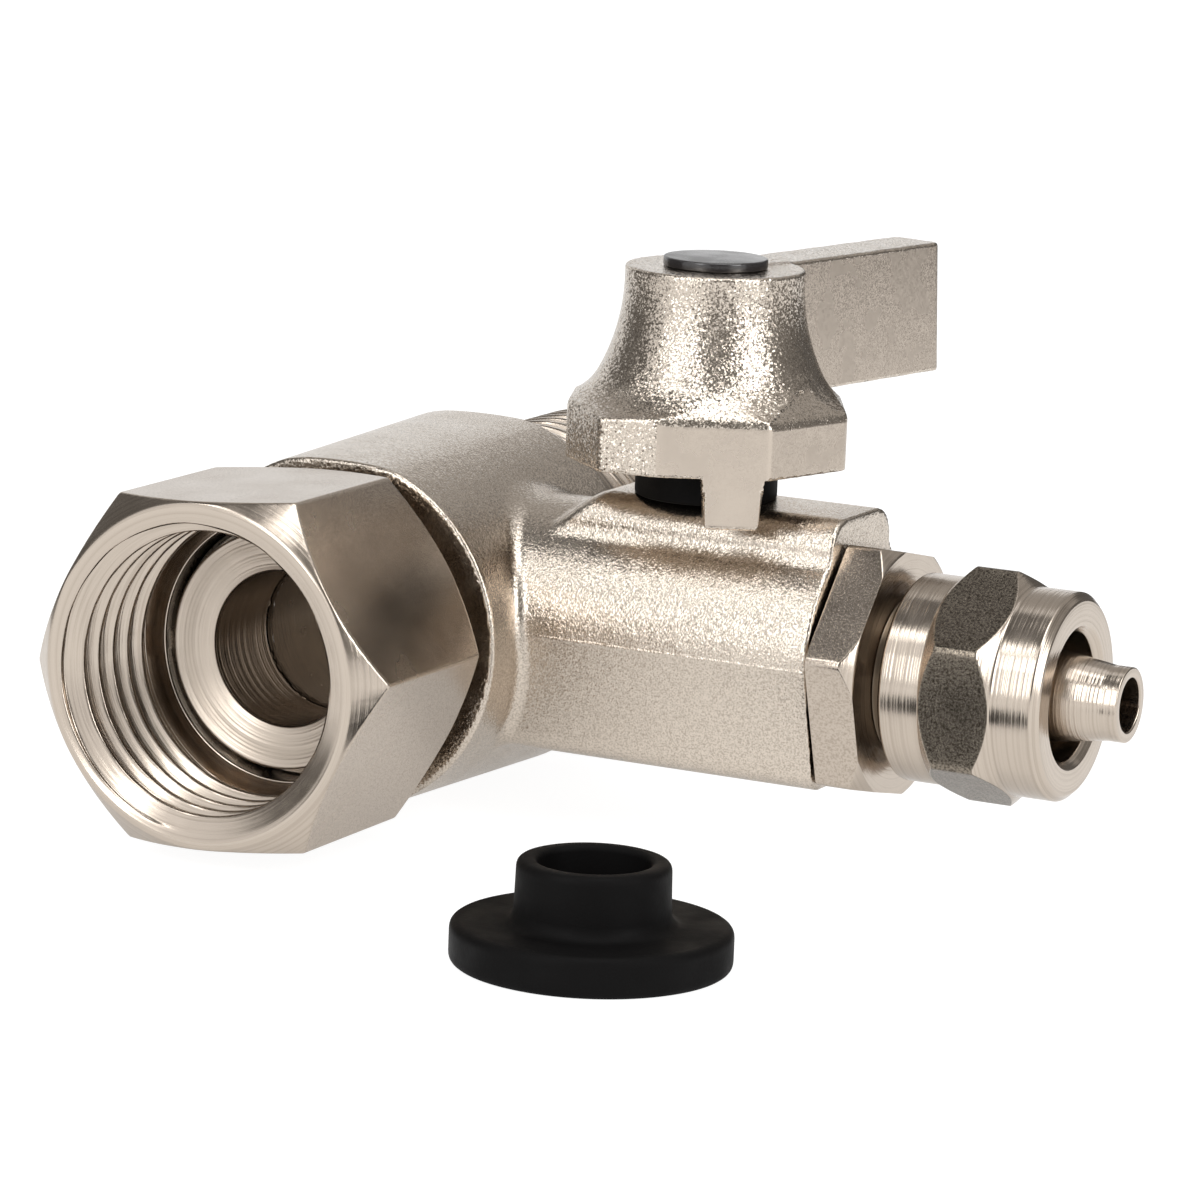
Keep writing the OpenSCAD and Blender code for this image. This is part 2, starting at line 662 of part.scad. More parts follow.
// Pan-head screw that holds the lever on the stem
module lever_screw() {
    head_z = screw_floor + seat + spring_washer_t + seat;
    color(bright_nickel) translate([stem_x, 0, 0]) difference() {
        union() {
            rod(screw_d - 2 * seat, stem_top + 1.5, head_z + bite);
            rod(screw_head_d, head_z, head_z + screw_head_h);
        }
        for (turn = [0, 90]) rotate([0, 0, turn])
            translate([-screw_head_d * 0.32, -0.3, head_z + screw_head_h - 0.9]) cube([screw_head_d * 0.64, 0.6, 1]);
    }
}

// Split spring washer under the screw's head
module lever_spring_washer() {
    color(bright_nickel) translate([stem_x, 0, screw_floor + seat]) difference() {
        rod(screw_head_d, 0, spring_washer_t);
        rod(screw_d + 0.2, -bite, spring_washer_t + bite);
        translate([0, -0.2, -bite]) cube([screw_head_d, 0.4, spring_washer_t + 2 * bite]);
    }
}

// Black cap pressed into the recess over the screw
module screw_cap() {
    plug_z = screw_floor + spring_washer_t + screw_head_h + 0.3;
    color(black) translate([stem_x, 0, 0]) {
        rod(recess_d - 2 * seat, plug_z, hub_top + bite / 2);
        rod(cap_d, hub_top + seat, hub_top + cap_t - 0.15);
        cone(cap_d, cap_d - 0.3, hub_top + cap_t - 0.15, hub_top + cap_t);
    }
}

// Insert: closes the housing, presses the seats on the ball and carries the tube
module outlet_insert() {
    inner_end = seat_back_out + seat;
    neck_start = branch_len - insert_oring_d - 0.6;
    color(nickel) along_x() difference() {
        union() {
            rod(insert_thread_d - 2 * seat, inner_end, neck_start);
            rod(2 * neck_r, neck_start - bite, hex_start + bite);
            chamfered_hexagon(insert_af, hex_start, hex_end, 0.1, 0.9, -insert_turn - 90);
            rod(groove_d, hex_end - bite, groove_end + bite);
            rod(tube_thread_d, groove_end, tube_thread_end);
            cone(tube_thread_d, spigot_root_d + 2, tube_thread_end, insert_wall_end);
            rod(spigot_root_d, tube_thread_end, insert_wall_end + bite);
            cone(spigot_root_d, spigot_tip_d, insert_wall_end, spigot_end - spigot_land);
            rod(spigot_tip_d, spigot_end - spigot_land - seat, spigot_end);
        }
        rod(insert_bore_d, inner_end - bite, groove_end);
        rod(spigot_bore_d, inner_end, spigot_end + bite);
    }
}

// O-ring between the insert's neck and the housing's mouth
module insert_o_ring() {
    color(black) along_x()
        o_ring(neck_r + insert_ring_d / 2 + oring_room, insert_ring_d, hex_start - insert_ring_d / 2 - oring_room);
}

// Nut that clamps the tube on the spigot
module compression_nut() {
    round_d = tube_nut_af - 0.12;
    hex_a = tube_nut_start + tube_nut_skirt;
    hex_b = hex_a + tube_nut_hex_len;
    bevel = (tube_nut_af * hex_ratio - round_d) / 2;
    rim = 0.5;
    color(nickel) along_x() difference() {
        union() {
            cone(round_d - rim, round_d, tube_nut_start, tube_nut_start + rim / 2);
            rod(round_d, tube_nut_start + rim / 2, tube_nut_end - rim);
            cone(round_d, round_d - 2 * rim, tube_nut_end - rim, tube_nut_end);
            chamfered_hexagon(tube_nut_af, hex_a - bevel, hex_b + bevel, bevel, bevel, -tube_nut_turn - 90);
        }
        rod(tube_thread_d + 2 * tube_nut_clear, tube_nut_start - bite, tube_thread_end + 0.2);
        cone(tube_thread_d + 2 * tube_nut_clear, tube_hole_d, tube_thread_end + 0.2 - seat, tube_nut_thread_end + 1);
        rod(tube_hole_d, tube_nut_start, tube_nut_end + bite);
        cone(tube_hole_d, tube_hole_d + 1, tube_nut_end - 0.5, tube_nut_end + seat);
    }
}

valve_body();
swivel_nut();
nut_retaining_ring();
hat_washer();
inner_seat();
branch_ball();
outer_seat();
stem();
stem_thrust_washer();
stem_o_ring_lower();
stem_o_ring_upper();
stem_ring();
lever_handle();
lever_screw();
lever_spring_washer();
screw_cap();
outlet_insert();
insert_o_ring();
compression_nut();
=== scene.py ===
import bpy
import bmesh
import numpy as np
from mathutils import Matrix, Vector


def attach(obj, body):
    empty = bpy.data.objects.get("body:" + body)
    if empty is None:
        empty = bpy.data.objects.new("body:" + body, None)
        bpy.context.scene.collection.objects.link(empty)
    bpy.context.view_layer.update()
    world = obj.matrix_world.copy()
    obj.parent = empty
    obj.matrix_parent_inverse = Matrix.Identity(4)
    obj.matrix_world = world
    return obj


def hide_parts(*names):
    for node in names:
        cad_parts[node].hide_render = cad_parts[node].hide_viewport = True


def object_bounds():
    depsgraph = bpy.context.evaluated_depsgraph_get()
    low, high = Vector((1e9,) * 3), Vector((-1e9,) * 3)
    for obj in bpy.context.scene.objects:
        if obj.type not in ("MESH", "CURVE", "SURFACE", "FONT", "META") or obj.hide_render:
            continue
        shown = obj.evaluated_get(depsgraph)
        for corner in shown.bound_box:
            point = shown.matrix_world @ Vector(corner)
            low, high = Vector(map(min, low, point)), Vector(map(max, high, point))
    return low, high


bl_info = {
    "name": "Hose splitter valve",
    "version": (1, 0, 0),
    "blender": (4, 5, 0),
    "location": "3D View > Sidebar > Valve",
    "description": "Dresses the packed valve with castings, turned pieces, threads, finishes and a stage",
    "category": "Add Mesh",
}

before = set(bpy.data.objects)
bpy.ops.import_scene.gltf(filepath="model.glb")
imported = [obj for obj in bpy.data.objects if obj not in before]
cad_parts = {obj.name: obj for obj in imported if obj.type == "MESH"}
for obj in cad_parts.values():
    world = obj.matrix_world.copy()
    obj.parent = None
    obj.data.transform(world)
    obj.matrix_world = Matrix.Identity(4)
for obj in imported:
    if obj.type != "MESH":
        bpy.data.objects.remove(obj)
CAD_BOX = [list(corner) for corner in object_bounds()]
TURN = 2 * np.pi
MM_PER_M = 1000

# Places and distances that shape the two castings, in millimetres
STEM_X = 21.88
BARREL_FRONT = -11.5
BARREL_BACK = 9.4
HOUSING_END = 33.5
HUB_TOP = 25.86
SKIRT_TOP = 16.71
SKIRT_FOOT = 12.95
SKIRT_FLAT = 9.07

# Camera fitted to the photo: azimuth, elevation and roll in degrees, place in metres, lens and sensor in mm
CAMERA_TURN = (26.454, 11.161, 2.265)
CAMERA_PLACE = (0.17708, -0.32724, 0.0743)
CAMERA_LENS = (163.9, 36.0)


# Sizes and colours that a user would change
def length(name, description, default):
    """Setting for a length, in metres."""
    return bpy.props.FloatProperty(
        name=name, description=description, default=default, unit="LENGTH", subtype="DISTANCE")


def tint(name, where, default):
    """Setting for a colour, as sRGB hex."""
    return bpy.props.StringProperty(
        name=name, description=f"Colour of {where}, as sRGB hex", default=default)


class CastingSizes(bpy.types.PropertyGroup):
    """Sizes of the cast body"""
    root_fillet: length("Root fillet", "Radius where the branch grows out of the barrel", 0.0008)
    pad_fillet: length("Pad fillet", "Radius between the pad and the housing", 0.0006)
    grid: length("Mesh step", "Step of the grid for the cast skin", 0.00027)


class LeverSizes(bpy.types.PropertyGroup):
    """Sizes of the lever"""
    rest_turn: bpy.props.FloatProperty(
        name="Turn at rest", description="Turn of the lever about the stem", default=np.radians(81.5),
        subtype="ANGLE")
    edge: length("Cast edge", "Rounding of the lever's outer edges", 0.00022)
    root_fillet: length("Blade fillet", "Radius where the blade leaves the hub", 0.0005)
    grid: length("Mesh step", "Step of the grid for the lever", 0.0002)


class ThreadSizes(bpy.types.PropertyGroup):
    """Sizes of the threads"""
    pipe_pitch: length("Pipe pitch", "Pitch of the G 1/2 threads", 0.001814)
    pipe_major: length("Pipe major diameter", "Outside diameter of the G 1/2 thread", 0.020955)
    pipe_minor: length("Pipe minor diameter", "Core diameter of the G 1/2 thread", 0.018631)
    crisp: length("Machined edge", "Width of the broken edge on turned pieces", 0.00015)


class Finish(bpy.types.PropertyGroup):
    """Colours and grain sizes"""
    nickel: tint("Nickel", "the plating on turned pieces", "C5B9AC")
    nickel_low: tint("Nickel in the pits", "the plating in its pits", "AB9F92")
    cast: tint("Nickel on castings", "the plating on castings", "D8CDC0")
    cast_low: tint("Nickel in cast pits", "the plating in a casting's pits", "B9AEA1")
    rubber: tint("Rubber", "the rubber", "0A0909")
    milled_low: tint("Milled nickel in the pits", "the small nut in its pits", "4F473E")
    milled: tint("Milled nickel", "the small nut's milled flats", "8E8579")
    # The two bore tones are darker than the nickel for the thinner plate, and as painted shade in the bores
    # and in the insert's groove
    bore_low_painted_shade: tint("Bore, thin plate", "the bores where the plate is thin", "4A4137")
    bore: tint("Bore", "the plated bores", "7A6E60")
    cap: tint("Cap", "the cap", "1F1C1D")
    blast_grain: length("Blast grain", "Width of one dent of the shot blasting", 0.00013)
    lever_grain: length("Lever grain", "Width of one dent on the lever", 0.00011)
    turning_feed: length("Turning feed", "Distance between two turning lines", 0.00014)


class ValveSettings(bpy.types.PropertyGroup):
    """All settings of the valve"""
    casting: bpy.props.PointerProperty(type=CastingSizes)
    lever: bpy.props.PointerProperty(type=LeverSizes)
    threads: bpy.props.PointerProperty(type=ThreadSizes)
    finish: bpy.props.PointerProperty(type=Finish)


# Shapes as arrays, in millimetres
def round_max(a, b, r):
    """Distance to the common part of two forms, with a round edge.

    Where both are above -r, it is the hypotenuse of what they are above -r, less r, else the larger."""
    return np.hypot(np.maximum(a + r, 0), np.maximum(b + r, 0)) + np.minimum(np.maximum(a, b) + r, 0) - r


def round_min(a, b, r):
    """Distance to two joined forms, with a hollow fillet of radius r: round_max with all signs turned."""
    return -round_max(-a, -b, r)


def polar(radius, degrees):
    """Point at a radius and an angle."""
    return radius * np.array([np.cos(np.radians(degrees)), np.sin(np.radians(degrees))])


def along_and_across(x, y, degrees):
    """Coordinates along and across a line through the origin at an angle."""
    c, s = polar(1, degrees)
    return x * c + y * s, y * c - x * s


def skin(form, low, high, step):
    """Closed mesh of the zero level of form(x, y, z), by surface nets.

    The form is sampled on a grid. Each cell that the surface crosses gets one point, the mean of the
    crossings on its twelve edges, and each crossed edge gets one face from the four cells round it. The
    points are then moved along the form's gradient until it is zero, and the gradient is their normal."""
    axes = [np.arange(low[k] - 1.5 * step, high[k] + 1.5 * step, step) for k in range(3)]
    f = form(*np.meshgrid(*axes, indexing="ij"))
    inside = f < 0
    n = np.array(f.shape) - 1
    total = np.zeros(tuple(n) + (3,))
    count = np.zeros(tuple(n))
    cells = [slice(None, -1), slice(1, None)]
    for axis in range(3):
        others = [k for k in range(3) if k != axis]
        for i in range(2):
            for j in range(2):
                pick = [None, None, None]
                pick[others[0]], pick[others[1]] = cells[i], cells[j]
                pick[axis] = cells[0]
                a = f[tuple(pick)]
                pick[axis] = cells[1]
                b = f[tuple(pick)]
                crossed = (a < 0) != (b < 0)
                share = np.where(crossed, a / np.where(crossed, a - b, 1), 0)
                total[..., axis] += share
                total[..., others[0]] += i * crossed
                total[..., others[1]] += j * crossed
                count += crossed
    used = count > 0
    number = np.full(tuple(n), -1)
    number[used] = np.arange(used.sum())
    where = np.argwhere(used)
    origin = np.array([a[0] for a in axes])
    points = origin + step * (where + total[used] / count[used][:, None])
    faces = []
    for axis in range(3):
        u, v = (axis + 1) % 3, (axis + 2) % 3
        lower = [slice(None)] * 3
        upper = [slice(None)] * 3
        lower[axis], upper[axis] = slice(None, -1), slice(1, None)
        a, b = inside[tuple(lower)], inside[tuple(upper)]
        spots = np.argwhere(a != b)
        outward = a[tuple(spots.T)]
        du, dv = np.eye(3, dtype=int)[u], np.eye(3, dtype=int)[v]
        quad = np.stack([number[tuple((spots - du - dv).T)], number[tuple((spots - dv).T)],
                         number[tuple(spots.T)], number[tuple((spots - du).T)]], 1)
        quad[~outward] = quad[~outward][:, ::-1]
        faces.append(quad)
    h = 0.02

    def gradient(p):
        """Gradient of the form by central differences over h millimetres to each side."""
        g = [(form(*(p + h * e).T) - form(*(p - h * e).T)) / (2 * h) for e in np.eye(3)]
        return np.stack(g, 1)
    for _ in range(4):
        g = gradient(points)
        steepness = np.maximum((g ** 2).sum(1), 0.2)
        move = form(*points.T) / steepness
        points = points - np.clip(move, -step, step)[:, None] * g
    g = gradient(points)
    return points, np.concatenate(faces), g / np.maximum(np.linalg.norm(g, axis=1), 1e-9)[:, None]


def soft_path(corners, cut, steps=4):
    """Closed profile through corners, each cut by a short curve.

    corners is (k, 2) or (k, 2, angles), axial place and radius. Each corner becomes steps + 1 points of the
    parabola from a distance cut before it to a distance cut after it, at most 0.45 of either side."""
    c = np.asarray(corners, float)
    if c.ndim == 2:
        c = c[:, :, None]
    before, after = np.roll(c, 1, 0) - c, np.roll(c, -1, 0) - c
    len_b = np.maximum(np.linalg.norm(before, axis=1), 1e-9)[:, None]
    len_a = np.maximum(np.linalg.norm(after, axis=1), 1e-9)[:, None]
    wanted = np.broadcast_to(np.asarray(cut, float), (len(c),))[:, None, None]
    reach = np.minimum(wanted, 0.45 * np.minimum(len_a, len_b))
    a, b = c + before / len_b * reach, c + after / len_a * reach
    s = np.linspace(0, 1, steps + 1)[:, None, None, None]
    rows = (1 - s) ** 2 * a + 2 * s * (1 - s) * c + s ** 2 * b
    return np.moveaxis(rows, 0, 1).reshape(-1, 2, c.shape[2])


def round_angles(count=192):
    """Even angles round a turned piece."""
    return np.arange(count) * TURN / count


def hexagon_angles(turn):
    """Angles round a hexagon whose first corner is at turn degrees, close together at the corners."""
    near = np.array([0, 0.35, 0.7, 1.05, 1.4, 1.8, 2.4, 3.2, 4.5])
    half = np.concatenate([near, np.linspace(6.5, 30, 11)])
    sector = np.unique(np.concatenate([-half[:-1], half]))
    return np.radians(turn + (np.arange(6)[:, None] * 60 + sector[None, :]).ravel())


def hexagon_radius(angles, turn, flats, edge):
    """Radius of a hexagon with round corners at each angle.

    On a flat it is half the width over the cosine of the angle from the flat's middle. Near a corner it is
    where the ray leaves a circle of radius edge that touches both flats."""
    off = np.abs((np.degrees(angles) - turn + 30) % 60 - 30)
    beta = np.radians(off)
    flat = flats / 2 / np.cos(np.radians(30) - beta)
    centre = (flats / 2 - edge) / np.cos(np.radians(30))
    touch = np.arctan2(edge * 0.5, centre + edge * np.cos(np.radians(30)))
    arc = centre * np.cos(beta) + np.sqrt(np.maximum(edge ** 2 - (centre * np.sin(beta)) ** 2, 0))
    return np.where(beta < touch, arc, flat)


def thread_wave(along, angles, pitch, hand=1):
    """Height of a helical thread from 0 at its root to 1 at its crest.

    The fraction of a pitch at a place and an angle gives a triangle wave. A sixth of it is cut off at its
    top and at its bottom, as the standard for pipe threads does, which leaves straight flanks."""
    part = (along / pitch + hand * angles / TURN) % 1
    return np.clip((np.abs(2 * part - 1) - 1 / 6) * 1.5, 0, 1)


def carried(rows, angles, axis):
    """Points and faces of a closed profile carried round an axis.

    A point is its place along the axis, and its radius times the angle's cosine and sine."""
    rows = np.broadcast_to(rows, rows.shape[:2] + (len(angles),))
    along, radius = rows[:, 0], rows[:, 1]
    c, s = radius * np.cos(angles), radius * np.sin(angles)
    order = {"x": (along, c, s), "y": (c, along, s), "z": (c, s, along)}[axis]
    points = np.stack(order, -1).reshape(-1, 3)
    m, n = along.shape
    i, j = np.meshgrid(np.arange(m), np.arange(n), indexing="ij")
    i2, j2 = (i + 1) % m, (j + 1) % n
    faces = np.stack([i * n + j, i2 * n + j, i2 * n + j2, i * n + j2], -1).reshape(-1, 4)
    a, b, d = points[faces[:, 0]], points[faces[:, 1]], points[faces[:, 2]]
    e = points[faces[:, 3]]
    volume = (np.cross(a, b) * d).sum() + (np.cross(a, d) * e).sum()
    return points, faces if volume > 0 else faces[:, ::-1]


def put(name, points, faces, body, material, normals=None, replaces=(), others=()):
    """Makes the object from arrays in millimetres, closes its poles and gives it body and material.

    others are further materials, each with a function of face centres and normals that says which faces
    have it."""
    mesh = bpy.data.meshes.new(name)
    mesh.from_pydata((points / MM_PER_M).tolist(), [], faces.tolist())
    mesh.validate()
    mesh.shade_smooth()
    if normals is not None:
        mesh.normals_split_custom_set_from_vertices(normals.tolist())
    else:
        b = bmesh.new()
        b.from_mesh(mesh)
        bmesh.ops.remove_doubles(b, verts=b.verts, dist=1e-7)
        b.to_mesh(mesh)
        b.free()
    mesh.materials.append(material)
    centre, way = np.empty(len(mesh.polygons) * 3), np.empty(len(mesh.polygons) * 3)
    mesh.polygons.foreach_get("center", centre)
    mesh.polygons.foreach_get("normal", way)
    chosen = np.zeros(len(mesh.polygons), np.int32)
    for number, (other, holds) in enumerate(others, 1):
        mesh.materials.append(other)
        chosen[holds(centre.reshape(-1, 3).T * MM_PER_M, way.reshape(-1, 3).T)] = number
    mesh.polygons.foreach_set("material_index", chosen)
    piece = bpy.data.objects.new(name, mesh)
    bpy.context.scene.collection.objects.link(piece)
    if normals is None:
        weighted = piece.modifiers.new("even_flats", "WEIGHTED_NORMAL")
        weighted.mode = "FACE_AREA"
        weighted.weight = 100
    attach(piece, body)
    if replaces:
        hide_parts(*replaces)


# Materials
def linear(hex_colour):
    """sRGB hex to linear RGBA."""
    c = np.array([int(hex_colour[k:k + 2], 16) for k in (0, 2, 4)]) / 255
    c = np.where(c <= 0.04045, c / 12.92, ((c + 0.055) / 1.055) ** 2.4)
    return (*c.tolist(), 1.0)


def add(tree, kind, settings=None, inputs=None, **links):
    """Adds one shader node: settings are its properties, inputs its socket values, links what feeds it.

    A link's name is the socket's, with _ for a space, or i and the socket's number."""
    made = tree.nodes.new("ShaderNode" + kind)
    for key, value in (settings or {}).items():
        setattr(made, key, value)
    for key, value in (inputs or {}).items():
        made.inputs[key].default_value = value
    for key, value in links.items():
        key = int(key[1:]) if key[0] == "i" and key[1:].isdigit() else key.replace("_", " ")
        tree.links.new(value, made.inputs[key])
    return made


def start(name, roughness, metallic, colour):
    """New material with its Principled shader, and the tree and shader to add to."""
    material = bpy.data.materials.new(name)
    material.use_nodes = True
    tree = material.node_tree
    shader = tree.nodes["Principled BSDF"]
    shader.inputs["Base Color"].default_value = linear(colour)
    shader.inputs["Roughness"].default_value = roughness
    shader.inputs["Metallic"].default_value = metallic
    material.diffuse_color = linear(colour)
    return material, tree, shader


def tone(tree, shader, tones, value, low, high):
    """Mixes two tones by a value: the first one below low, the second one above high."""
    share = add(tree, "MapRange", inputs={"From Min": low, "From Max": high}, Value=value)
    colour = add(tree, "Mix", {"data_type": "RGBA"}, {6: linear(tones[0]), 7: linear(tones[1])},
                 i0=share.outputs["Result"])
    tree.links.new(colour.outputs[2], shader.inputs["Base Color"])


def gloss(tree, shader, value, low, high):
    """Makes the roughness go from low to high as a noise value goes from 0.3 to 0.7."""
    share = add(tree, "MapRange", inputs={"From Min": 0.3, "From Max": 0.7, "To Min": low, "To Max": high},
                Value=value)
    tree.links.new(share.outputs["Result"], shader.inputs["Roughness"])


def relief(tree, shader, height, depth, strength=1.0):
    """Bumps the surface by a height of depth metres for each unit, and returns the normal."""
    bump = add(tree, "Bump", inputs={"Strength": strength, "Distance": depth}, Height=height)
    tree.links.new(bump.outputs["Normal"], shader.inputs["Normal"])
    return bump.outputs["Normal"]


def blasted_nickel(name, tones, grain, roughness, depth, tilt, parting=None):
    """Nickel plate on a shot-blasted casting.

    Blasting leaves round dents, and the plate in them looks darker and rougher. Between them lie small
    facets, each tilted its own way by up to half of tilt, which sparkle against dark surroundings. parting
    is the height of the mould's parting line and where it starts along the branch, in metres."""
    material, tree, shader = start(name, roughness, 1.0, tones[1])
    place = add(tree, "TexCoord").outputs["Object"]
    dents = add(tree, "TexNoise", inputs={"Scale": 1 / grain, "Detail": 2.0, "Roughness": 0.6},
                Vector=place).outputs["Fac"]
    pits = add(tree, "TexVoronoi", {"feature": "F1"}, {"Scale": 0.55 / grain}, Vector=place)
    cloud = add(tree, "TexNoise", inputs={"Scale": 0.05 / grain, "Detail": 3.0}, Vector=place)
    tone(tree, shader, tones, dents, 0.36, 0.58)
    gloss(tree, shader, cloud.outputs["Fac"], roughness + 0.06, roughness - 0.04)
    height = add(tree, "Math", {"operation": "MULTIPLY_ADD"}, {1: 0.45}, i0=pits.outputs["Distance"],
                 i2=dents)
    if parting:
        split = add(tree, "SeparateXYZ", Vector=place)
        off = add(tree, "Math", {"operation": "SUBTRACT"}, {1: parting[0]}, i0=split.outputs["Z"])
        off = add(tree, "Math", {"operation": "ABSOLUTE"}, i0=off.outputs[0])
        ridge = add(tree, "MapRange", {"interpolation_type": "SMOOTHSTEP"},
                    {"From Min": 0.0, "From Max": 0.00022, "To Min": 1.3, "To Max": 0.0},
                    Value=off.outputs[0])
        far = add(tree, "Math", {"operation": "GREATER_THAN"}, {1: parting[1]}, i0=split.outputs["X"])
        height = add(tree, "Math", {"operation": "MULTIPLY_ADD"}, i0=ridge.outputs["Result"],
                     i1=far.outputs[0], i2=height.outputs[0])
    normal = relief(tree, shader, height.outputs["Value"], depth)
    cells = add(tree, "TexVoronoi", {"feature": "F1"}, {"Scale": 1 / grain}, Vector=place)
    lean = add(tree, "VectorMath", {"operation": "SUBTRACT"}, {1: (0.5,) * 3}, i0=cells.outputs["Color"])
    lean = add(tree, "VectorMath", {"operation": "MULTIPLY_ADD"}, {1: (tilt,) * 3},
               i0=lean.outputs[0], i2=normal)
    facet = add(tree, "VectorMath", {"operation": "NORMALIZE"}, i0=lean.outputs[0])
    tree.links.new(facet.outputs[0], shader.inputs["Normal"])
    return material


def turned_nickel(name, tones, axis, feed, roughness, depth):
    """Nickel plate on turned brass.

    The tool leaves fine rings one feed apart, so highlights spread across them and stay narrow along them.
    The rings follow the place along the axis and the distance from it."""
    material, tree, shader = start(name, roughness, 1.0, tones[1])
    place = add(tree, "TexCoord").outputs["Object"]
    split = add(tree, "SeparateXYZ", Vector=place)
    u, v = [split.outputs[k] for k in "XYZ" if k != axis]
    u2 = add(tree, "Math", {"operation": "MULTIPLY"}, i0=u, i1=u)
    v2 = add(tree, "Math", {"operation": "MULTIPLY"}, i0=v, i1=v)
    both = add(tree, "Math", {"operation": "ADD"}, i0=u2.outputs[0], i1=v2.outputs[0])
    radius = add(tree, "Math", {"operation": "SQRT"}, i0=both.outputs[0])
    ring = add(tree, "CombineXYZ", X=split.outputs[axis], Y=radius.outputs[0])
    lines = add(tree, "TexNoise", {"noise_dimensions": "2D"},
                {"Scale": 0.7 / feed, "Detail": 2.0, "Roughness": 0.6}, Vector=ring.outputs["Vector"])
    cloud = add(tree, "TexNoise", inputs={"Scale": 700.0, "Detail": 3.0}, Vector=place)
    gloss(tree, shader, cloud.outputs["Fac"], roughness - 0.03, roughness + 0.04)
    tone(tree, shader, tones, lines.outputs["Fac"], 0.1, 0.55)
    relief(tree, shader, lines.outputs["Fac"], depth)
    return material


def worked_nickel(name, tones, stretch, grain, roughness, depth):
    """Nickel plate on drawn or milled flats.

    The die or the cutter leaves faint scratches, long where stretch is small, and small pits between them
    that break up a reflection."""
    material, tree, shader = start(name, roughness, 1.0, tones[1])
    place = add(tree, "TexCoord").outputs["Object"]
    long = add(tree, "Mapping", inputs={"Scale": stretch}, Vector=place)
    scratches = add(tree, "TexNoise", inputs={"Scale": 1 / grain, "Detail": 2.0}, Vector=long.outputs[0])
    specks = add(tree, "TexNoise", inputs={"Scale": 1 / grain, "Detail": 3.0, "Roughness": 0.65},
                 Vector=place)
    cloud = add(tree, "TexNoise", inputs={"Scale": 250.0, "Detail": 2.0}, Vector=place)
    gloss(tree, shader, cloud.outputs["Fac"], roughness - 0.03, roughness + 0.03)
    tone(tree, shader, tones, specks.outputs["Fac"], 0.36, 0.55)
    height = add(tree, "Math", {"operation": "ADD"}, i0=scratches.outputs["Fac"], i1=specks.outputs["Fac"])
    relief(tree, shader, height.outputs["Value"], depth)
    return material


def moulded_black(name, colour, roughness, grain, shine):
    """Nitrile rubber or acetal from a spark-eroded mould: nearly black, a fine grain dulls its gloss."""
    material, tree, shader = start(name, roughness, 0.0, colour)
    shader.inputs["Specular IOR Level"].default_value = shine
    place = add(tree, "TexCoord").outputs["Object"]
    fine = add(tree, "TexNoise", inputs={"Scale": 1 / grain, "Detail": 3.0}, Vector=place)
    cloud = add(tree, "TexNoise", inputs={"Scale": 300.0, "Detail": 4.0}, Vector=place)
    gloss(tree, shader, cloud.outputs["Fac"], roughness - 0.1, roughness + 0.1)
    relief(tree, shader, fine.outputs["Fac"], 0.00002, 0.6)
    return material


def plain_metal(name, colour, roughness, grain):
    """Drawn or ground steel, or a polished ball: smooth, with faint clouds in its gloss and fine grain."""
    material, tree, shader = start(name, roughness, 1.0, colour)
    place = add(tree, "TexCoord").outputs["Object"]
    fine = add(tree, "TexNoise", inputs={"Scale": 1 / grain, "Detail": 2.0}, Vector=place).outputs["Fac"]
    gloss(tree, shader, fine, roughness * 0.8, roughness * 1.3)
    relief(tree, shader, fine, 0.00001, 0.4)
    return material


def pressed_ptfe(name):
    """Skived PTFE seat: waxy white, soft gloss, light enters it a little."""
    material, tree, shader = start(name, 0.42, 0.0, "E9E7E1")
    shader.inputs["Subsurface Weight"].default_value = 0.15
    shader.inputs["Subsurface Radius"].default_value = (0.001, 0.001, 0.001)
    shader.inputs["IOR"].default_value = 1.38
    place = add(tree, "TexCoord").outputs["Object"]
    fine = add(tree, "TexNoise", inputs={"Scale": 2500.0, "Detail": 3.0}, Vector=place)
    relief(tree, shader, fine.outputs["Fac"], 0.00001, 0.4)
    return material


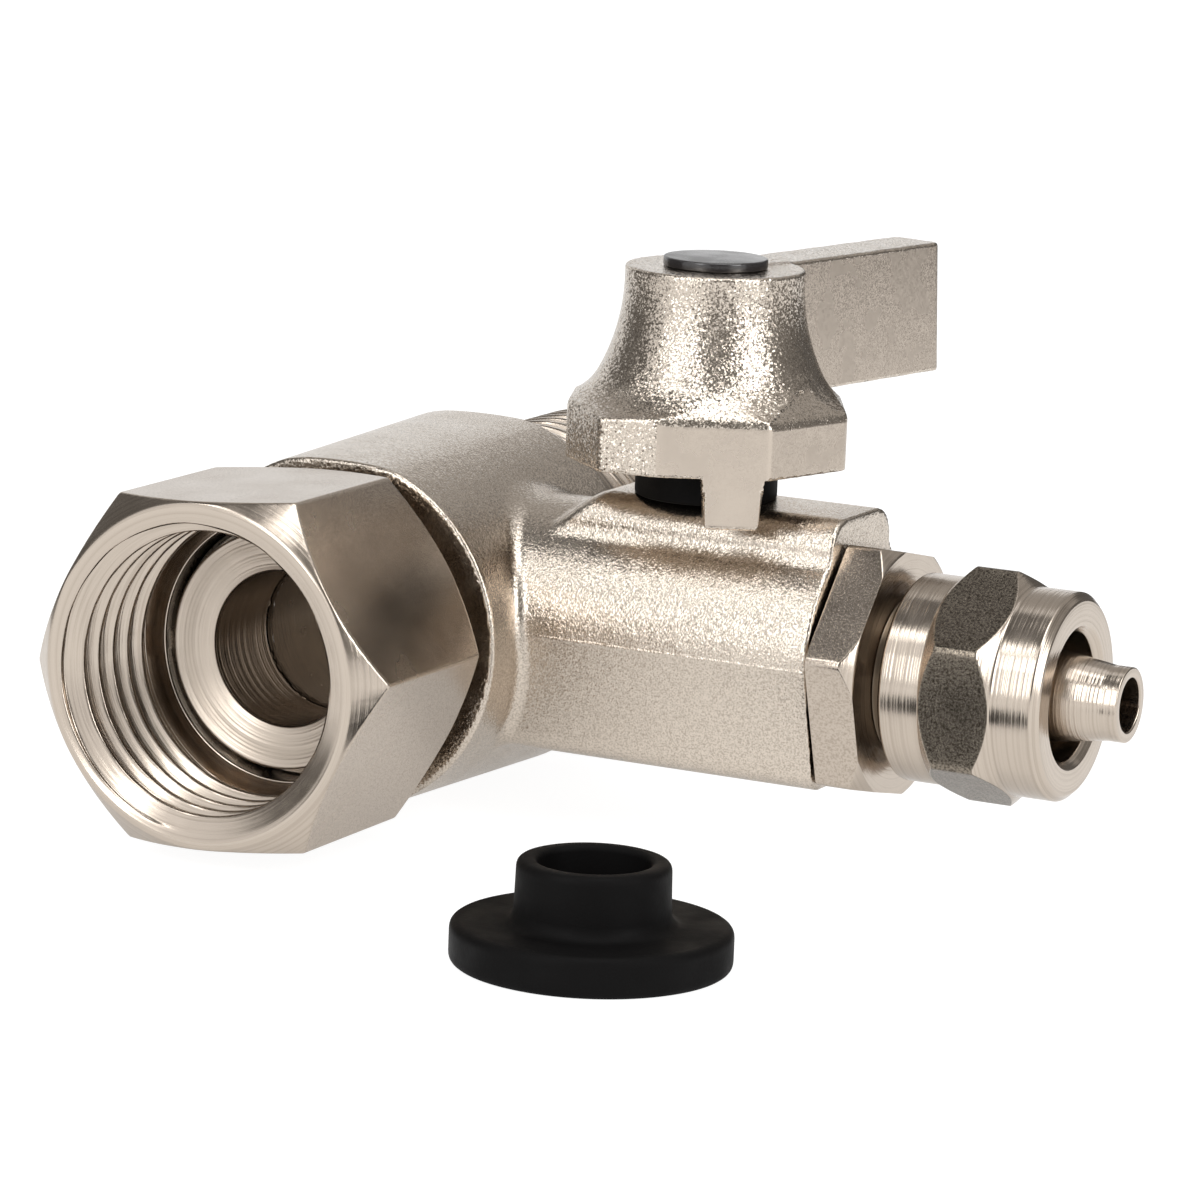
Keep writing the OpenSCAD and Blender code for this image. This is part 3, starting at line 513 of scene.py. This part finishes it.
# Forms of the two castings
def casting_form(sizes):
    """Distance to the cast body, as a function of x, y and z in millimetres.

    The barrel is a drafted round with round shoulders and a flat on top. The housing is a round top on
    drafted sides, the pad a slab with round edges and a sloping start. They are joined with fillets, then
    bored."""
    root, pad_root = sizes.root_fillet * MM_PER_M, sizes.pad_fillet * MM_PER_M
    draft = 0.6 / (BARREL_BACK - BARREL_FRONT)
    lean = np.tan(np.radians(13))

    def form(x, y, z):
        rho = np.hypot(x, z)
        growth = (y - BARREL_FRONT) * draft
        side = rho - (12.2 + growth)
        flat = z - (11.83 + growth)
        barrel = round_max(side, flat, 0.5)
        top = np.hypot(y, z - 0.9) - 8.2
        low = round_max(np.abs(y) - (8.2 - (0.9 - z) * lean), -7.5 - z, 1.4)
        end = x - HOUSING_END
        housing = np.where(z > 0.9, top, low)
        pad = round_max(np.abs(y) - 4.7, z - 10.4, 2.2)
        pad = np.maximum(round_max(pad, ((z - 8.2) - (x - 13.18)) / np.sqrt(2), 0.7), -z)
        branch = round_max(round_min(housing, pad, pad_root), end, 0.2)
        branch = np.maximum(branch, -x)
        ends = np.maximum(BARREL_FRONT - y, y - BARREL_BACK)
        solid = round_max(round_min(barrel, branch, root), ends, 0.25)
        bore = np.minimum(np.maximum(rho - 7.2, -10.6 - y), rho - 5.25)
        across = np.hypot(y, z)
        port = np.maximum(across - 2.9, np.maximum(-x, x - 16))
        chamber = np.maximum(across - 5.9, 15.68 - x)
        seat = np.maximum(across - 6.5, 28.08 - x)
        mouth = (across - 6.5 - np.maximum(x - 32.4, -2)) / np.sqrt(2)
        mouth = np.maximum(mouth, 30 - x)
        stem = np.hypot(x - STEM_X, y)
        gland = np.minimum(np.maximum(stem - 2.8, -z), np.maximum(stem - 3.6, np.maximum(-z, z - 7.4)))
        cut = np.minimum.reduce([bore, port, chamber, seat, mouth, gland])
        return np.maximum(solid, -cut)
    return form


def lever_form(sizes):
    """Distance to the lever about its own axis, with the blade near +x, in millimetres.

    The hub is a round with two hollow arcs for its side, which meet on the line through their centres. The
    skirt is the common part of nine planes, seven of which carry a leaning facet: an octagon with a lug. A
    facet is its turn, its distance from the axis, its lean, how much deeper it lies, its reach above the
    skirt's top edge and how fast that reach rises. The blade is a drafted slab and the tab a drafted block
    below the skirt."""
    edge, root = sizes.edge * MM_PER_M, sizes.root_fillet * MM_PER_M
    big, flare, arc_top = np.array([19.73, 25.0]), np.array([11.134, 20.593]), 25.0
    big_radius, flare_radius = 13.7, 4.04
    join = big + polar(big_radius, 206.9)
    way = (flare - big) / np.linalg.norm(flare - big)
    first, corner = 13.7, 9.817
    corners = [polar(corner, first + 45 * k) for k in (0, 1, 2)] + [polar(9.8, 137.5), polar(10.7, 171.5)]
    corners = np.array(corners + [polar(corner, first + 45 * k) for k in (4, 5, 6, 7)])
    sides = np.roll(corners, -1, 0) - corners
    outward = np.stack([sides[:, 1], -sides[:, 0]], 1) / np.linalg.norm(sides, axis=1)[:, None]
    offset = (outward * corners).sum(1)
    facets = [(first + 22.5 + 45 * k, SKIRT_FLAT, 39.5, 0.0, 1.7, 0.0) for k in (0, 1, 4, 6, 7)]
    facets += [(120.6, 9.393, 39.5, 0.0, 1.7, 0.0), (261.2, SKIRT_FLAT, 41.0, 0.1, 0.1, 0.5)]
    blade_foot = 16.77

    def form(x, y, z):
        r = np.hypot(x, y)
        above = (r - join[0]) * way[1] - (z - join[1]) * way[0] > 0
        hollow_big = big_radius - np.hypot(r - big[0], np.minimum(z, arc_top) - big[1])
        hollow_flare = flare_radius - np.hypot(r - flare[0], z - flare[1])
        bell = np.where(above, hollow_big, hollow_flare)
        bell = np.where(z > arc_top, r - (big[0] - big_radius), bell)
        hub = round_max(bell, z - HUB_TOP, 0.2)
        skirt = np.full(np.shape(x), -99.0)
        for k in range(9):
            skirt = round_max(skirt, x * outward[k, 0] + y * outward[k, 1] - offset[k], edge)
        for turn, distance, lean, deeper, reach, rise in facets:
            out, across = along_and_across(x, y, turn)
            plane, up = along_and_across(out - distance, z - SKIRT_TOP, lean)
            limit = np.minimum(reach + rise * (3.76 + across), 2.16) if rise else reach
            hub = np.maximum(hub, np.minimum(plane + deeper, limit - up))
        hub = round_max(hub, skirt, edge)
        hub = round_max(hub, SKIRT_FOOT - z, 0.15)
        out, across = along_and_across(x, y, -3)
        tip = (out - (24.2 - (z - blade_foot) * 0.077)) * 0.997
        plan = round_max(np.abs(across) - 2.0, tip, 0.7)
        blade = round_max(plan, z - HUB_TOP, 0.25)
        blade = round_max(blade, blade_foot - z, 0.15)
        blade = np.maximum(blade, -out)
        out, across = along_and_across(x, y, -135)
        half = 1.75 + 0.35 * (z - 9.9) / 3.77
        flush = along_and_across(x, y, 216.2)[0] - SKIRT_FLAT
        tab = round_max(np.maximum(np.abs(across) - half, flush), 9.6 - z, 0.3)
        tab = np.maximum(np.maximum(tab, 8.05 - out), z - 13.3)
        solid = round_min(hub, blade, root)
        solid = np.minimum(solid, tab)
        recess = np.minimum(np.maximum(r - 4.95, z - 14.37), np.maximum(r - 3.2, 21.57 - z))
        square = np.maximum(np.abs(x), np.abs(y)) - 1.95
        return np.maximum(solid, -np.minimum(recess, square))
    return form


# Operators, one for each piece or group of like pieces
def settings():
    """The valve's settings."""
    return bpy.context.scene.hose_valve


def plate(s):
    """The plating's two tones, in its pits and on its heights."""
    return s.finish.nickel_low, s.finish.nickel


def cast(s):
    """The plating's two tones on castings."""
    return s.finish.cast_low, s.finish.cast


def thin_plate_and_painted_shade(s):
    """The plating's two tones in bores and grooves, darker for the thinner plate there and as painted shade.
    """
    return s.finish.bore_low_painted_shade, s.finish.bore


def flats_about(axis, beyond):
    """Test for put's others: a hexagon's flats lie beyond a distance from the axis and look away from it."""
    along = "xyz".index(axis)
    across = [k for k in range(3) if k != along]

    def holds(centre, way):
        """Faces that are flats."""
        return (np.hypot(*centre[across]) > beyond) & (np.abs(way[along]) < 0.3)
    return holds


class VALVE_OT_casting(bpy.types.Operator):
    """Cast body with its soft fillets"""
    bl_idname = "valve.casting"
    bl_label = "Cast body"

    def execute(self, context):
        s = settings()
        low, high = (-13.0, -11.7, -13.0), (33.6, 9.6, 12.6)
        parting = (0.0009, 0.0128)
        points, faces, normals = skin(casting_form(s.casting), low, high, s.casting.grid * MM_PER_M)
        grain = s.finish.blast_grain
        finish = blasted_nickel("nickel_on_blasted_cast_brass", cast(s), grain, 0.2, 0.000024, 0.14,
                                parting)
        # The bores get the darker tones: painted shade, with the thinner plate
        bored = turned_nickel("nickel_on_bored_brass_painted_shade", thin_plate_and_painted_shade(s), "Y", s.finish.turning_feed, 0.24,
                              0.00001)

        def in_shaded_bores(centre, way):
            """Faces of the run's bores and of the branch's bores, which get the painted shade."""
            x, y, z = centre
            return (np.hypot(x, z) < 7.3) | ((np.hypot(y, z) < 6.7) & (x > 7))
        put("body_casting", points, faces, "valve", finish, normals, ["valve_body"],
            [(bored, in_shaded_bores)])
        return {"FINISHED"}


class VALVE_OT_turned_ends(bpy.types.Operator):
    """Inlet tail and threaded outlet, both turned on the casting"""
    bl_idname = "valve.turned_ends"
    bl_label = "Turned ends"

    def execute(self, context):
        s = settings()
        t = s.threads
        feed, crisp = s.finish.turning_feed, t.crisp * MM_PER_M
        finish = turned_nickel("nickel_on_turned_brass_run", plate(s), "Y", feed * 2, 0.22, 0.00004)
        tail = [(-11.2, 8.0), (-16.3, 8.0), (-16.3, 7.43), (-17.7, 7.43), (-17.7, 8.0), (-19.1, 8.0),
                (-19.1, 7.8), (-18.3, 5.25), (BARREL_FRONT, 5.25)]
        points, faces = carried(soft_path(tail, crisp), round_angles(), "y")
        coarse = turned_nickel("nickel_on_coarsely_faced_tail", plate(s), "Y", feed * 3, 0.32, 0.00012)
        put("inlet_tail", points, faces, "valve", finish,
            others=[(coarse, lambda centre, way: (centre[1] < -18.0) & (np.abs(way[1]) > 0.3))])
        angles = round_angles(240)
        start_y, end_y, bore = 14.8, 29.0, 7.2
        neck = [(BARREL_BACK, bore), (9.0, 11.3), (13.2, 11.3), (13.2, 9.1), (start_y, 9.1),
                (start_y, 9.35)]
        mouth = [(28.9, 8.6), (end_y, 8.6), (end_y, bore), (BARREL_BACK, bore)]
        # The first and the last corner of each only lead on, and their five points are left out
        start_rows, end_rows = soft_path(neck, crisp)[5:-5], soft_path(mouth, crisp)[5:-5]
        along = np.linspace(start_y, end_y, 190)[:, None]
        wave = thread_wave(along, angles[None, :], t.pipe_pitch * MM_PER_M)
        radius = (t.pipe_minor + (t.pipe_major - t.pipe_minor) * wave) * MM_PER_M / 2
        chamfer = np.minimum(9.35 + (along - start_y) * 1.2, 9.4775 + (end_y - along))
        thread = np.stack([np.broadcast_to(along, radius.shape), np.minimum(radius, chamfer)], 1)
        wide = [np.broadcast_to(r, r.shape[:2] + (len(angles),)) for r in (start_rows, end_rows)]
        points, faces = carried(np.concatenate([wide[0], thread, wide[1]]), angles, "y")
        put("threaded_outlet", points, faces, "valve", finish)
        return {"FINISHED"}


class VALVE_OT_swivel_nut(bpy.types.Operator):
    """Swivel nut with its internal thread"""
    bl_idname = "valve.swivel_nut"
    bl_label = "Swivel nut"

    def execute(self, context):
        s = settings()
        t = s.threads
        turn = 3.4
        angles = hexagon_angles(turn)
        hexagon = hexagon_radius(angles, turn, 23.0, 0.3)
        one = np.ones_like(angles)
        face = 11.33
        outer = [(-29.5 * one, 10.85 * one), (-29.5 * one, face * one), (-29.5 + (hexagon - face), hexagon),
                 (-13.5 - (hexagon - face), hexagon), (-13.5 * one, face * one), (-13.5 * one, 8.08 * one),
                 (-16.3 * one, 8.08 * one), (-16.3 * one, 8.85 * one), (-18.75 * one, 8.85 * one),
                 (-18.75 * one, 10.5 * one), (-20.35 * one, 10.5 * one), (-20.35 * one, 9.6 * one)]
        rows = soft_path(np.array(outer), [0.15, 0.25, 0.2, 0.2] + [0.15] * 8)[2:-2]
        along = np.linspace(-20.4, -29.45, 125)[:, None]
        wave = thread_wave(along, angles[None, :], t.pipe_pitch * MM_PER_M)
        radius = (t.pipe_major - (t.pipe_major - t.pipe_minor) * wave) * MM_PER_M / 2
        countersink = 9.3155 + np.maximum(-28.75 - along, 0) * 2.05
        radius = np.maximum(radius, countersink)
        thread = np.stack([np.broadcast_to(along, radius.shape), radius], 1)
        points, faces = carried(np.concatenate([rows, thread]), angles, "y")
        finish = turned_nickel("nickel_on_turned_nut", plate(s), "Y", s.finish.turning_feed, 0.22, 0.000012)
        stretch = (1, 0.06, 1)
        drawn = worked_nickel("nickel_on_drawn_hexagon_bar", plate(s), stretch, 0.00012, 0.25, 0.000004)
        put("swivel_nut_skin", points, faces, "swivel_nut", finish,
            replaces=["swivel_nut"], others=[(drawn, flats_about("y", 11.42))])
        return {"FINISHED"}


class VALVE_OT_lever(bpy.types.Operator):
    """Lever with hub, skirt, facets, blade and stop tab"""
    bl_idname = "valve.lever"
    bl_label = "Lever"

    def execute(self, context):
        s = settings()
        low, high = (-10.9, -10.9, 9.4), (24.5, 10.9, 26.0)
        points, faces, normals = skin(lever_form(s.lever), low, high, s.lever.grid * MM_PER_M)
        cosine, sine = np.cos(s.lever.rest_turn), np.sin(s.lever.rest_turn)
        turn = np.array([[cosine, -sine, 0], [sine, cosine, 0], [0, 0, 1]])
        points = points @ turn.T + np.array([STEM_X, 0, 0])
        grain = s.finish.lever_grain
        even = (s.finish.nickel, s.finish.nickel)
        finish = blasted_nickel("nickel_on_blasted_cast_lever", cast(s), grain, 0.17, 0.000014, 0.36)
        flat = blasted_nickel("nickel_on_ground_lever_flats", even, grain, 0.25, 0.000003, 0.05)

        def on_flats(centre, way):
            """Faces of the skirt but for its lug, of the tab and of the blade's sides."""
            out = np.hypot(centre[0] - STEM_X, centre[1])
            lug = way[0] * -0.515 + way[1] * -0.857 > 0.66
            below = centre[2] < 16.8
            return (np.abs(way[2]) < 0.12) & ((below & ~lug) | (~below & (out > 6.6)))
        put("lever_casting", points, faces, "lever", finish, normals @ turn.T,
            ["lever_handle"], [(flat, on_flats)])
        return {"FINISHED"}


class VALVE_OT_tube_fitting(bpy.types.Operator):
    """Insert with its hexagon and spigot, and the compression nut"""
    bl_idname = "valve.tube_fitting"
    bl_label = "Tube fitting"

    def execute(self, context):
        s = settings()
        feed = s.finish.turning_feed
        stretch = (1, 0.12, 0.12)
        finish = turned_nickel("nickel_on_turned_brass_branch", plate(s), "X", feed, 0.2, 0.00002)
        # The groove gets the darker tones: painted shade, with the thinner plate
        thin = turned_nickel("nickel_in_turned_groove_painted_shade", thin_plate_and_painted_shade(s), "X", feed * 2, 0.3, 0.00003)
        milled = worked_nickel("nickel_on_milled_hexagon", plate(s), stretch, 0.00016, 0.2, 0.00001)

        def in_shaded_groove(centre, way):
            """Faces of the groove between the hexagon and the collar, which get the painted shade."""
            return (np.abs(centre[0] - 37.5) < 0.6) & (np.hypot(centre[1], centre[2]) < 6.2)
        turn, flats = -12.2, 16.0
        angles = hexagon_angles(turn)
        hexagon = hexagon_radius(angles, turn, flats, 0.6)
        one = np.ones_like(angles)
        corner = flats / np.cos(np.radians(30)) / 2
        flush, face = corner - 0.1, corner - 0.9
        outer = [(28.1, 2.8), (28.1, 6.48), (31.8, 6.48), (31.8, 5.95), (33.7, 5.95)]
        outer = [(a * one, b * one) for a, b in outer]
        outer += [(33.7 * one, np.minimum(hexagon, flush)),
                  (37.0 - np.maximum(hexagon - face, 0.02), hexagon),
                  (37.0 * one, np.minimum(hexagon, face))]
        rest = [(37.0, 5.2), (38.0, 5.2), (38.0, 6.0), (44.0, 6.0), (45.5, 4.4), (45.5, 3.4), (51.9, 2.5),
                (53.1, 2.5), (53.1, 1.8), (38.0, 1.8), (38.0, 2.8)]
        outer += [(a * one, b * one) for a, b in rest]
        points, faces = carried(soft_path(np.array(outer), 0.12), angles, "x")
        put("insert_skin", points, faces, "valve", finish, replaces=["outlet_insert"],
            others=[(milled, flats_about("x", 7.9)), (thin, in_shaded_groove)])
        tones = (s.finish.milled_low, s.finish.milled)
        dark = worked_nickel("nickel_on_milled_small_nut", tones, stretch, 0.00016, 0.24, 0.000015)
        turn, flats = -26.5, 14.0
        angles = hexagon_angles(turn)
        hexagon = hexagon_radius(angles, turn, flats, 0.6)
        one = np.ones_like(angles)
        collar, start_x, end_x = 6.94, 41.007, 46.043
        rise = hexagon - collar
        outer = [(38.05 * one, 6.06 * one), (38.05 * one, 6.69 * one), (38.3 * one, collar * one),
                 (start_x * one, collar * one), (start_x + rise, hexagon), (end_x - rise, hexagon),
                 (end_x * one, collar * one)]
        rest = [(48.85, collar), (49.35, 6.44), (49.35, 4.8), (48.85, 4.3), (46.8, 4.3), (44.2, 6.06)]
        outer += [(a * one, b * one) for a, b in rest]
        points, faces = carried(soft_path(np.array(outer), 0.1), angles, "x")
        put("compression_nut_skin", points, faces, "compression_nut", finish,
            replaces=["compression_nut"],
            others=[(dark, flats_about("x", 6.97))])
        return {"FINISHED"}


class VALVE_OT_black_pieces(bpy.types.Operator):
    """Ring under the lever, cap on its top and the loose hat washer"""
    bl_idname = "valve.black_pieces"
    bl_label = "Ring, cap and washer"

    def execute(self, context):
        s = settings()
        rubber = moulded_black("black_nitrile_rubber", s.finish.rubber, 0.6, 0.00025, 0.09)
        acetal = moulded_black("black_moulded_acetal", s.finish.cap, 0.22, 0.0003, 0.9)
        shift = np.array([STEM_X, 0, 0])
        ring = [(10.4, 2.87), (10.4, 4.8), (14.27, 4.8), (14.27, 2.87)]
        points, faces = carried(soft_path(ring, 0.2), round_angles(96), "z")
        put("stem_ring_skin", points + shift, faces, "valve", rubber, replaces=["stem_ring"])
        cap = [(24.2, 0.0), (24.2, 3.18), (25.88, 3.18), (25.88, 3.5), (26.5, 3.5), (26.54, 2.6),
               (26.56, 0.0)]
        points, faces = carried(soft_path(cap, [0, 0.2, 0.05, 0.1, 0.14, 0.4, 0]), round_angles(96), "z")
        put("cap_skin", points + shift, faces, "lever", acetal, replaces=["screw_cap"])
        washer = [(-12.8, 3.55), (-12.8, 8.8), (-10.2, 8.8), (-10.2, 4.9), (-6.2, 4.8), (-6.2, 3.55)]
        rows = soft_path(washer, [0.3, 0.6, 0.6, 0.9, 0.8, 0.4], 6)
        points, faces = carried(rows, round_angles(128), "z")
        put("washer_skin", points + np.array([32.2, -35.4, 0]), faces, "washer", rubber,
            replaces=["hat_washer"])
        return {"FINISHED"}


class VALVE_OT_inner_pieces(bpy.types.Operator):
    """Finishes of the pieces inside, whose solids stay"""
    bl_idname = "valve.inner_pieces"
    bl_label = "Inner pieces"

    def execute(self, context):
        s = settings()
        ptfe = pressed_ptfe("skived_white_ptfe")
        rubber = moulded_black("black_nitrile_o_ring", s.finish.rubber, 0.5, 0.0002, 0.3)
        ball = plain_metal("chromed_polished_brass", "D9D6D2", 0.09, 0.0009)
        steel = plain_metal("drawn_stainless_wire", "C9C7C3", 0.3, 0.0003)
        zinc = plain_metal("zinc_plated_steel", "BFC2C4", 0.34, 0.0004)
        stem = turned_nickel("nickel_on_turned_stem", plate(s), "Z", s.finish.turning_feed, 0.25, 0.00001)
        finishes = {
            "inner_seat": ptfe, "outer_seat": ptfe, "stem_thrust_washer": ptfe, "branch_ball": ball,
            "stem": stem, "stem_o_ring_lower": rubber, "stem_o_ring_upper": rubber, "insert_o_ring": rubber,
            "nut_retaining_ring": steel, "lever_screw": zinc, "lever_spring_washer": zinc}
        for name, finish in finishes.items():
            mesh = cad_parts[name].data
            mesh.materials.clear()
            mesh.materials.append(finish)
        return {"FINISHED"}


def toward(a, e):
    """Way from the valve to azimuth a and elevation e, in radians. Azimuth 0 is the front, -y."""
    return np.stack([np.sin(a) * np.cos(e), -np.cos(a) * np.cos(e), np.sin(e)], -1)


def flag(name, shade, reach, turns, heights):
    """Curved card round the valve, as a studio flag, seen in gloss alone.

    It is the part of a sphere of radius reach between two azimuths and two elevations, in degrees, and it
    shows an even grey of strength shade."""
    across, up = 17, 9
    a, e = np.meshgrid(np.linspace(*turns, across), np.linspace(*heights, up), indexing="ij")
    middle = np.array([0.02, 0.0, 0.0])
    points = middle + reach * toward(np.radians(a), np.radians(e)).reshape(-1, 3)
    i, j = np.meshgrid(np.arange(across - 1), np.arange(up - 1), indexing="ij")
    corner = i * up + j
    faces = np.stack([corner, corner + 1, corner + up + 1, corner + up], -1).reshape(-1, 4)
    mesh = bpy.data.meshes.new(name)
    mesh.from_pydata(points.tolist(), [], faces.tolist())
    made = bpy.data.objects.new(name, mesh)
    bpy.context.scene.collection.objects.link(made)
    material = bpy.data.materials.new(name)
    material.use_nodes = True
    tree = material.node_tree
    tree.nodes.clear()
    glow = add(tree, "Emission", inputs={"Color": (shade, shade * 0.96, shade * 0.92, 1), "Strength": 1.0})
    add(tree, "OutputMaterial", Surface=glow.outputs[0])
    material.cycles.emission_sampling = "NONE"
    mesh.materials.append(material)
    made.visible_camera = made.visible_diffuse = made.visible_shadow = made.visible_transmission = False


def soft_box(name, azimuth, elevation, distance, width, height, power):
    """Area lamp facing the valve."""
    away = Vector(toward(np.radians(azimuth), np.radians(elevation)))
    lamp = bpy.data.lights.new(name, "AREA")
    lamp.shape, lamp.size, lamp.size_y, lamp.energy = "RECTANGLE", width, height, power
    made = bpy.data.objects.new(name, lamp)
    middle = Vector((0.02, 0.0, 0.008))
    made.location = middle + away * distance
    made.rotation_euler = away.to_track_quat("Z", "Y").to_euler()
    bpy.context.scene.collection.objects.link(made)


class VALVE_OT_stage(bpy.types.Operator):
    """Floor, white surroundings, soft boxes, dark cards and the camera"""
    bl_idname = "valve.stage"
    bl_label = "Stage"

    def execute(self, context):
        scene = context.scene
        scene.view_settings.view_transform = "Standard"
        self.white_world(scene)
        self.floor()
        flag("flag_camera", 0.2, 0.17, (12, 58), (6, 56))
        flag("flag_left", 0.16, 0.17, (-106, -50), (-4.3, 44))
        flag("flag_left_high", 0.11, 0.5, (-130, -52), (47, 80))
        flag("flag_top_left", 0.11, 0.5, (-52, -3), (57, 80))
        flag("flag_right", 0.22, 0.3, (94, 140), (-2.5, 38))
        flag("flag_back", 0.14, 0.3, (140, 194), (-2.5, 26))
        flag("flag_back_high", 0.45, 0.5, (93, 262), (26, 62))
        soft_box("soft_box_left", -10, 27, 0.7, 0.15, 0.55, 1.06)
        soft_box("soft_box_left_high", -42, 50, 0.7, 0.16, 0.08, 0.2)
        soft_box("soft_box_right", 75, 27, 0.7, 0.2, 0.55, 1.45)
        soft_box("soft_box_top", 25, 76, 0.7, 0.5, 0.4, 1.6)
        self.camera(scene)
        return {"FINISHED"}

    def camera(self, scene):
        """Camera at its fitted place. Its three axes, rolled about its way of looking, are its matrix."""
        az, el, roll = np.radians(CAMERA_TURN)
        back = toward(az, el)
        right = np.array([np.cos(az), np.sin(az), 0])
        up = np.cross(back, right)
        r = np.cos(roll) * right + np.sin(roll) * up
        u = -np.sin(roll) * right + np.cos(roll) * up
        data = bpy.data.cameras.new("camera")
        data.lens, data.sensor_width = CAMERA_LENS
        data.clip_start, data.clip_end = 0.01, 20.0
        camera = bpy.data.objects.new("camera", data)
        place = np.eye(4)
        place[:3, 0], place[:3, 1], place[:3, 2] = r, u, back
        place[:3, 3] = CAMERA_PLACE
        camera.matrix_world = Matrix(place.tolist())
        scene.collection.objects.link(camera)
        scene.camera = camera

    def white_world(self, scene):
        """White to the eye and in reflections, and a softer level for the light on the object."""
        world = bpy.data.worlds.new("white_studio")
        world.use_nodes = True
        tree = world.node_tree
        tree.nodes.clear()
        path = add(tree, "LightPath")
        seen = add(tree, "Math", {"operation": "MAXIMUM"}, i0=path.outputs["Is Camera Ray"],
                   i1=path.outputs["Is Glossy Ray"])
        seen = add(tree, "Math", {"operation": "MAXIMUM"}, i0=seen.outputs[0],
                   i1=path.outputs["Is Transmission Ray"])
        white = add(tree, "Background", inputs={"Color": (1, 1, 1, 1), "Strength": 1.0})
        light = add(tree, "Background", inputs={"Color": (1, 1, 1, 1), "Strength": 0.8})
        mix = add(tree, "MixShader", i0=seen.outputs[0], i1=light.outputs[0], i2=white.outputs[0])
        add(tree, "OutputWorld", Surface=mix.outputs[0])
        scene.world = world

    def floor(self):
        """Matt white floor that also glows a little to the eye and in gloss, and keeps the shadows."""
        low, size = min(c[2] for c in CAD_BOX), 3.0
        corners = [(-size, -size, low), (size, -size, low), (size, size, low), (-size, size, low)]
        mesh = bpy.data.meshes.new("floor")
        mesh.from_pydata(corners, [], [(0, 1, 2, 3)])
        made = bpy.data.objects.new("floor", mesh)
        bpy.context.scene.collection.objects.link(made)
        material = bpy.data.materials.new("white_floor")
        material.use_nodes = True
        tree = material.node_tree
        shader = tree.nodes["Principled BSDF"]
        shader.inputs["Base Color"].default_value = (0.93, 0.93, 0.93, 1)
        shader.inputs["Roughness"].default_value = 0.9
        path = add(tree, "LightPath")
        seen = add(tree, "Math", {"operation": "MAXIMUM"}, i0=path.outputs["Is Camera Ray"],
                   i1=path.outputs["Is Glossy Ray"])
        share = add(tree, "Math", {"operation": "MULTIPLY"}, {1: 0.4}, i0=seen.outputs[0])
        share = add(tree, "Math", {"operation": "MULTIPLY_ADD"}, {1: 0.35},
                    i0=path.outputs["Is Camera Ray"], i2=share.outputs[0])
        level = add(tree, "Math", {"operation": "MULTIPLY_ADD"}, {1: 0.2, 2: 1.02},
                    i0=path.outputs["Is Camera Ray"])
        glow = add(tree, "Emission", inputs={"Color": (1, 1, 1, 1)}, Strength=level.outputs[0])
        mix = add(tree, "MixShader", i0=share.outputs[0], i1=shader.outputs[0], i2=glow.outputs[0])
        tree.links.new(mix.outputs[0], tree.nodes["Material Output"].inputs["Surface"])
        mesh.materials.append(material)


class VALVE_PT_panel(bpy.types.Panel):
    """Lists the pieces and the stage"""
    bl_idname = "VALVE_PT_panel"
    bl_label = "Hose splitter valve"
    bl_space_type = "VIEW_3D"
    bl_region_type = "UI"
    bl_category = "Valve"

    def draw(self, context):
        for step in STEPS:
            self.layout.operator(step.bl_idname)


STEPS = (VALVE_OT_casting, VALVE_OT_turned_ends, VALVE_OT_swivel_nut, VALVE_OT_lever, VALVE_OT_tube_fitting,
         VALVE_OT_black_pieces, VALVE_OT_inner_pieces, VALVE_OT_stage)
CLASSES = (CastingSizes, LeverSizes, ThreadSizes, Finish, ValveSettings) + STEPS + (VALVE_PT_panel,)


def register():
    """Registers the classes and puts the settings on the scene."""
    for each in CLASSES:
        bpy.utils.register_class(each)
    bpy.types.Scene.hose_valve = bpy.props.PointerProperty(type=ValveSettings)


def unregister():
    """Takes the settings off the scene and unregisters the classes."""
    del bpy.types.Scene.hose_valve
    for each in reversed(CLASSES):
        bpy.utils.unregister_class(each)


def main():
    register()
    bpy.ops.valve.casting()
    bpy.ops.valve.turned_ends()
    bpy.ops.valve.swivel_nut()
    bpy.ops.valve.lever()
    bpy.ops.valve.tube_fitting()
    bpy.ops.valve.black_pieces()
    bpy.ops.valve.inner_pieces()
    bpy.ops.valve.stage()


if __name__ == "__main__":
    main()
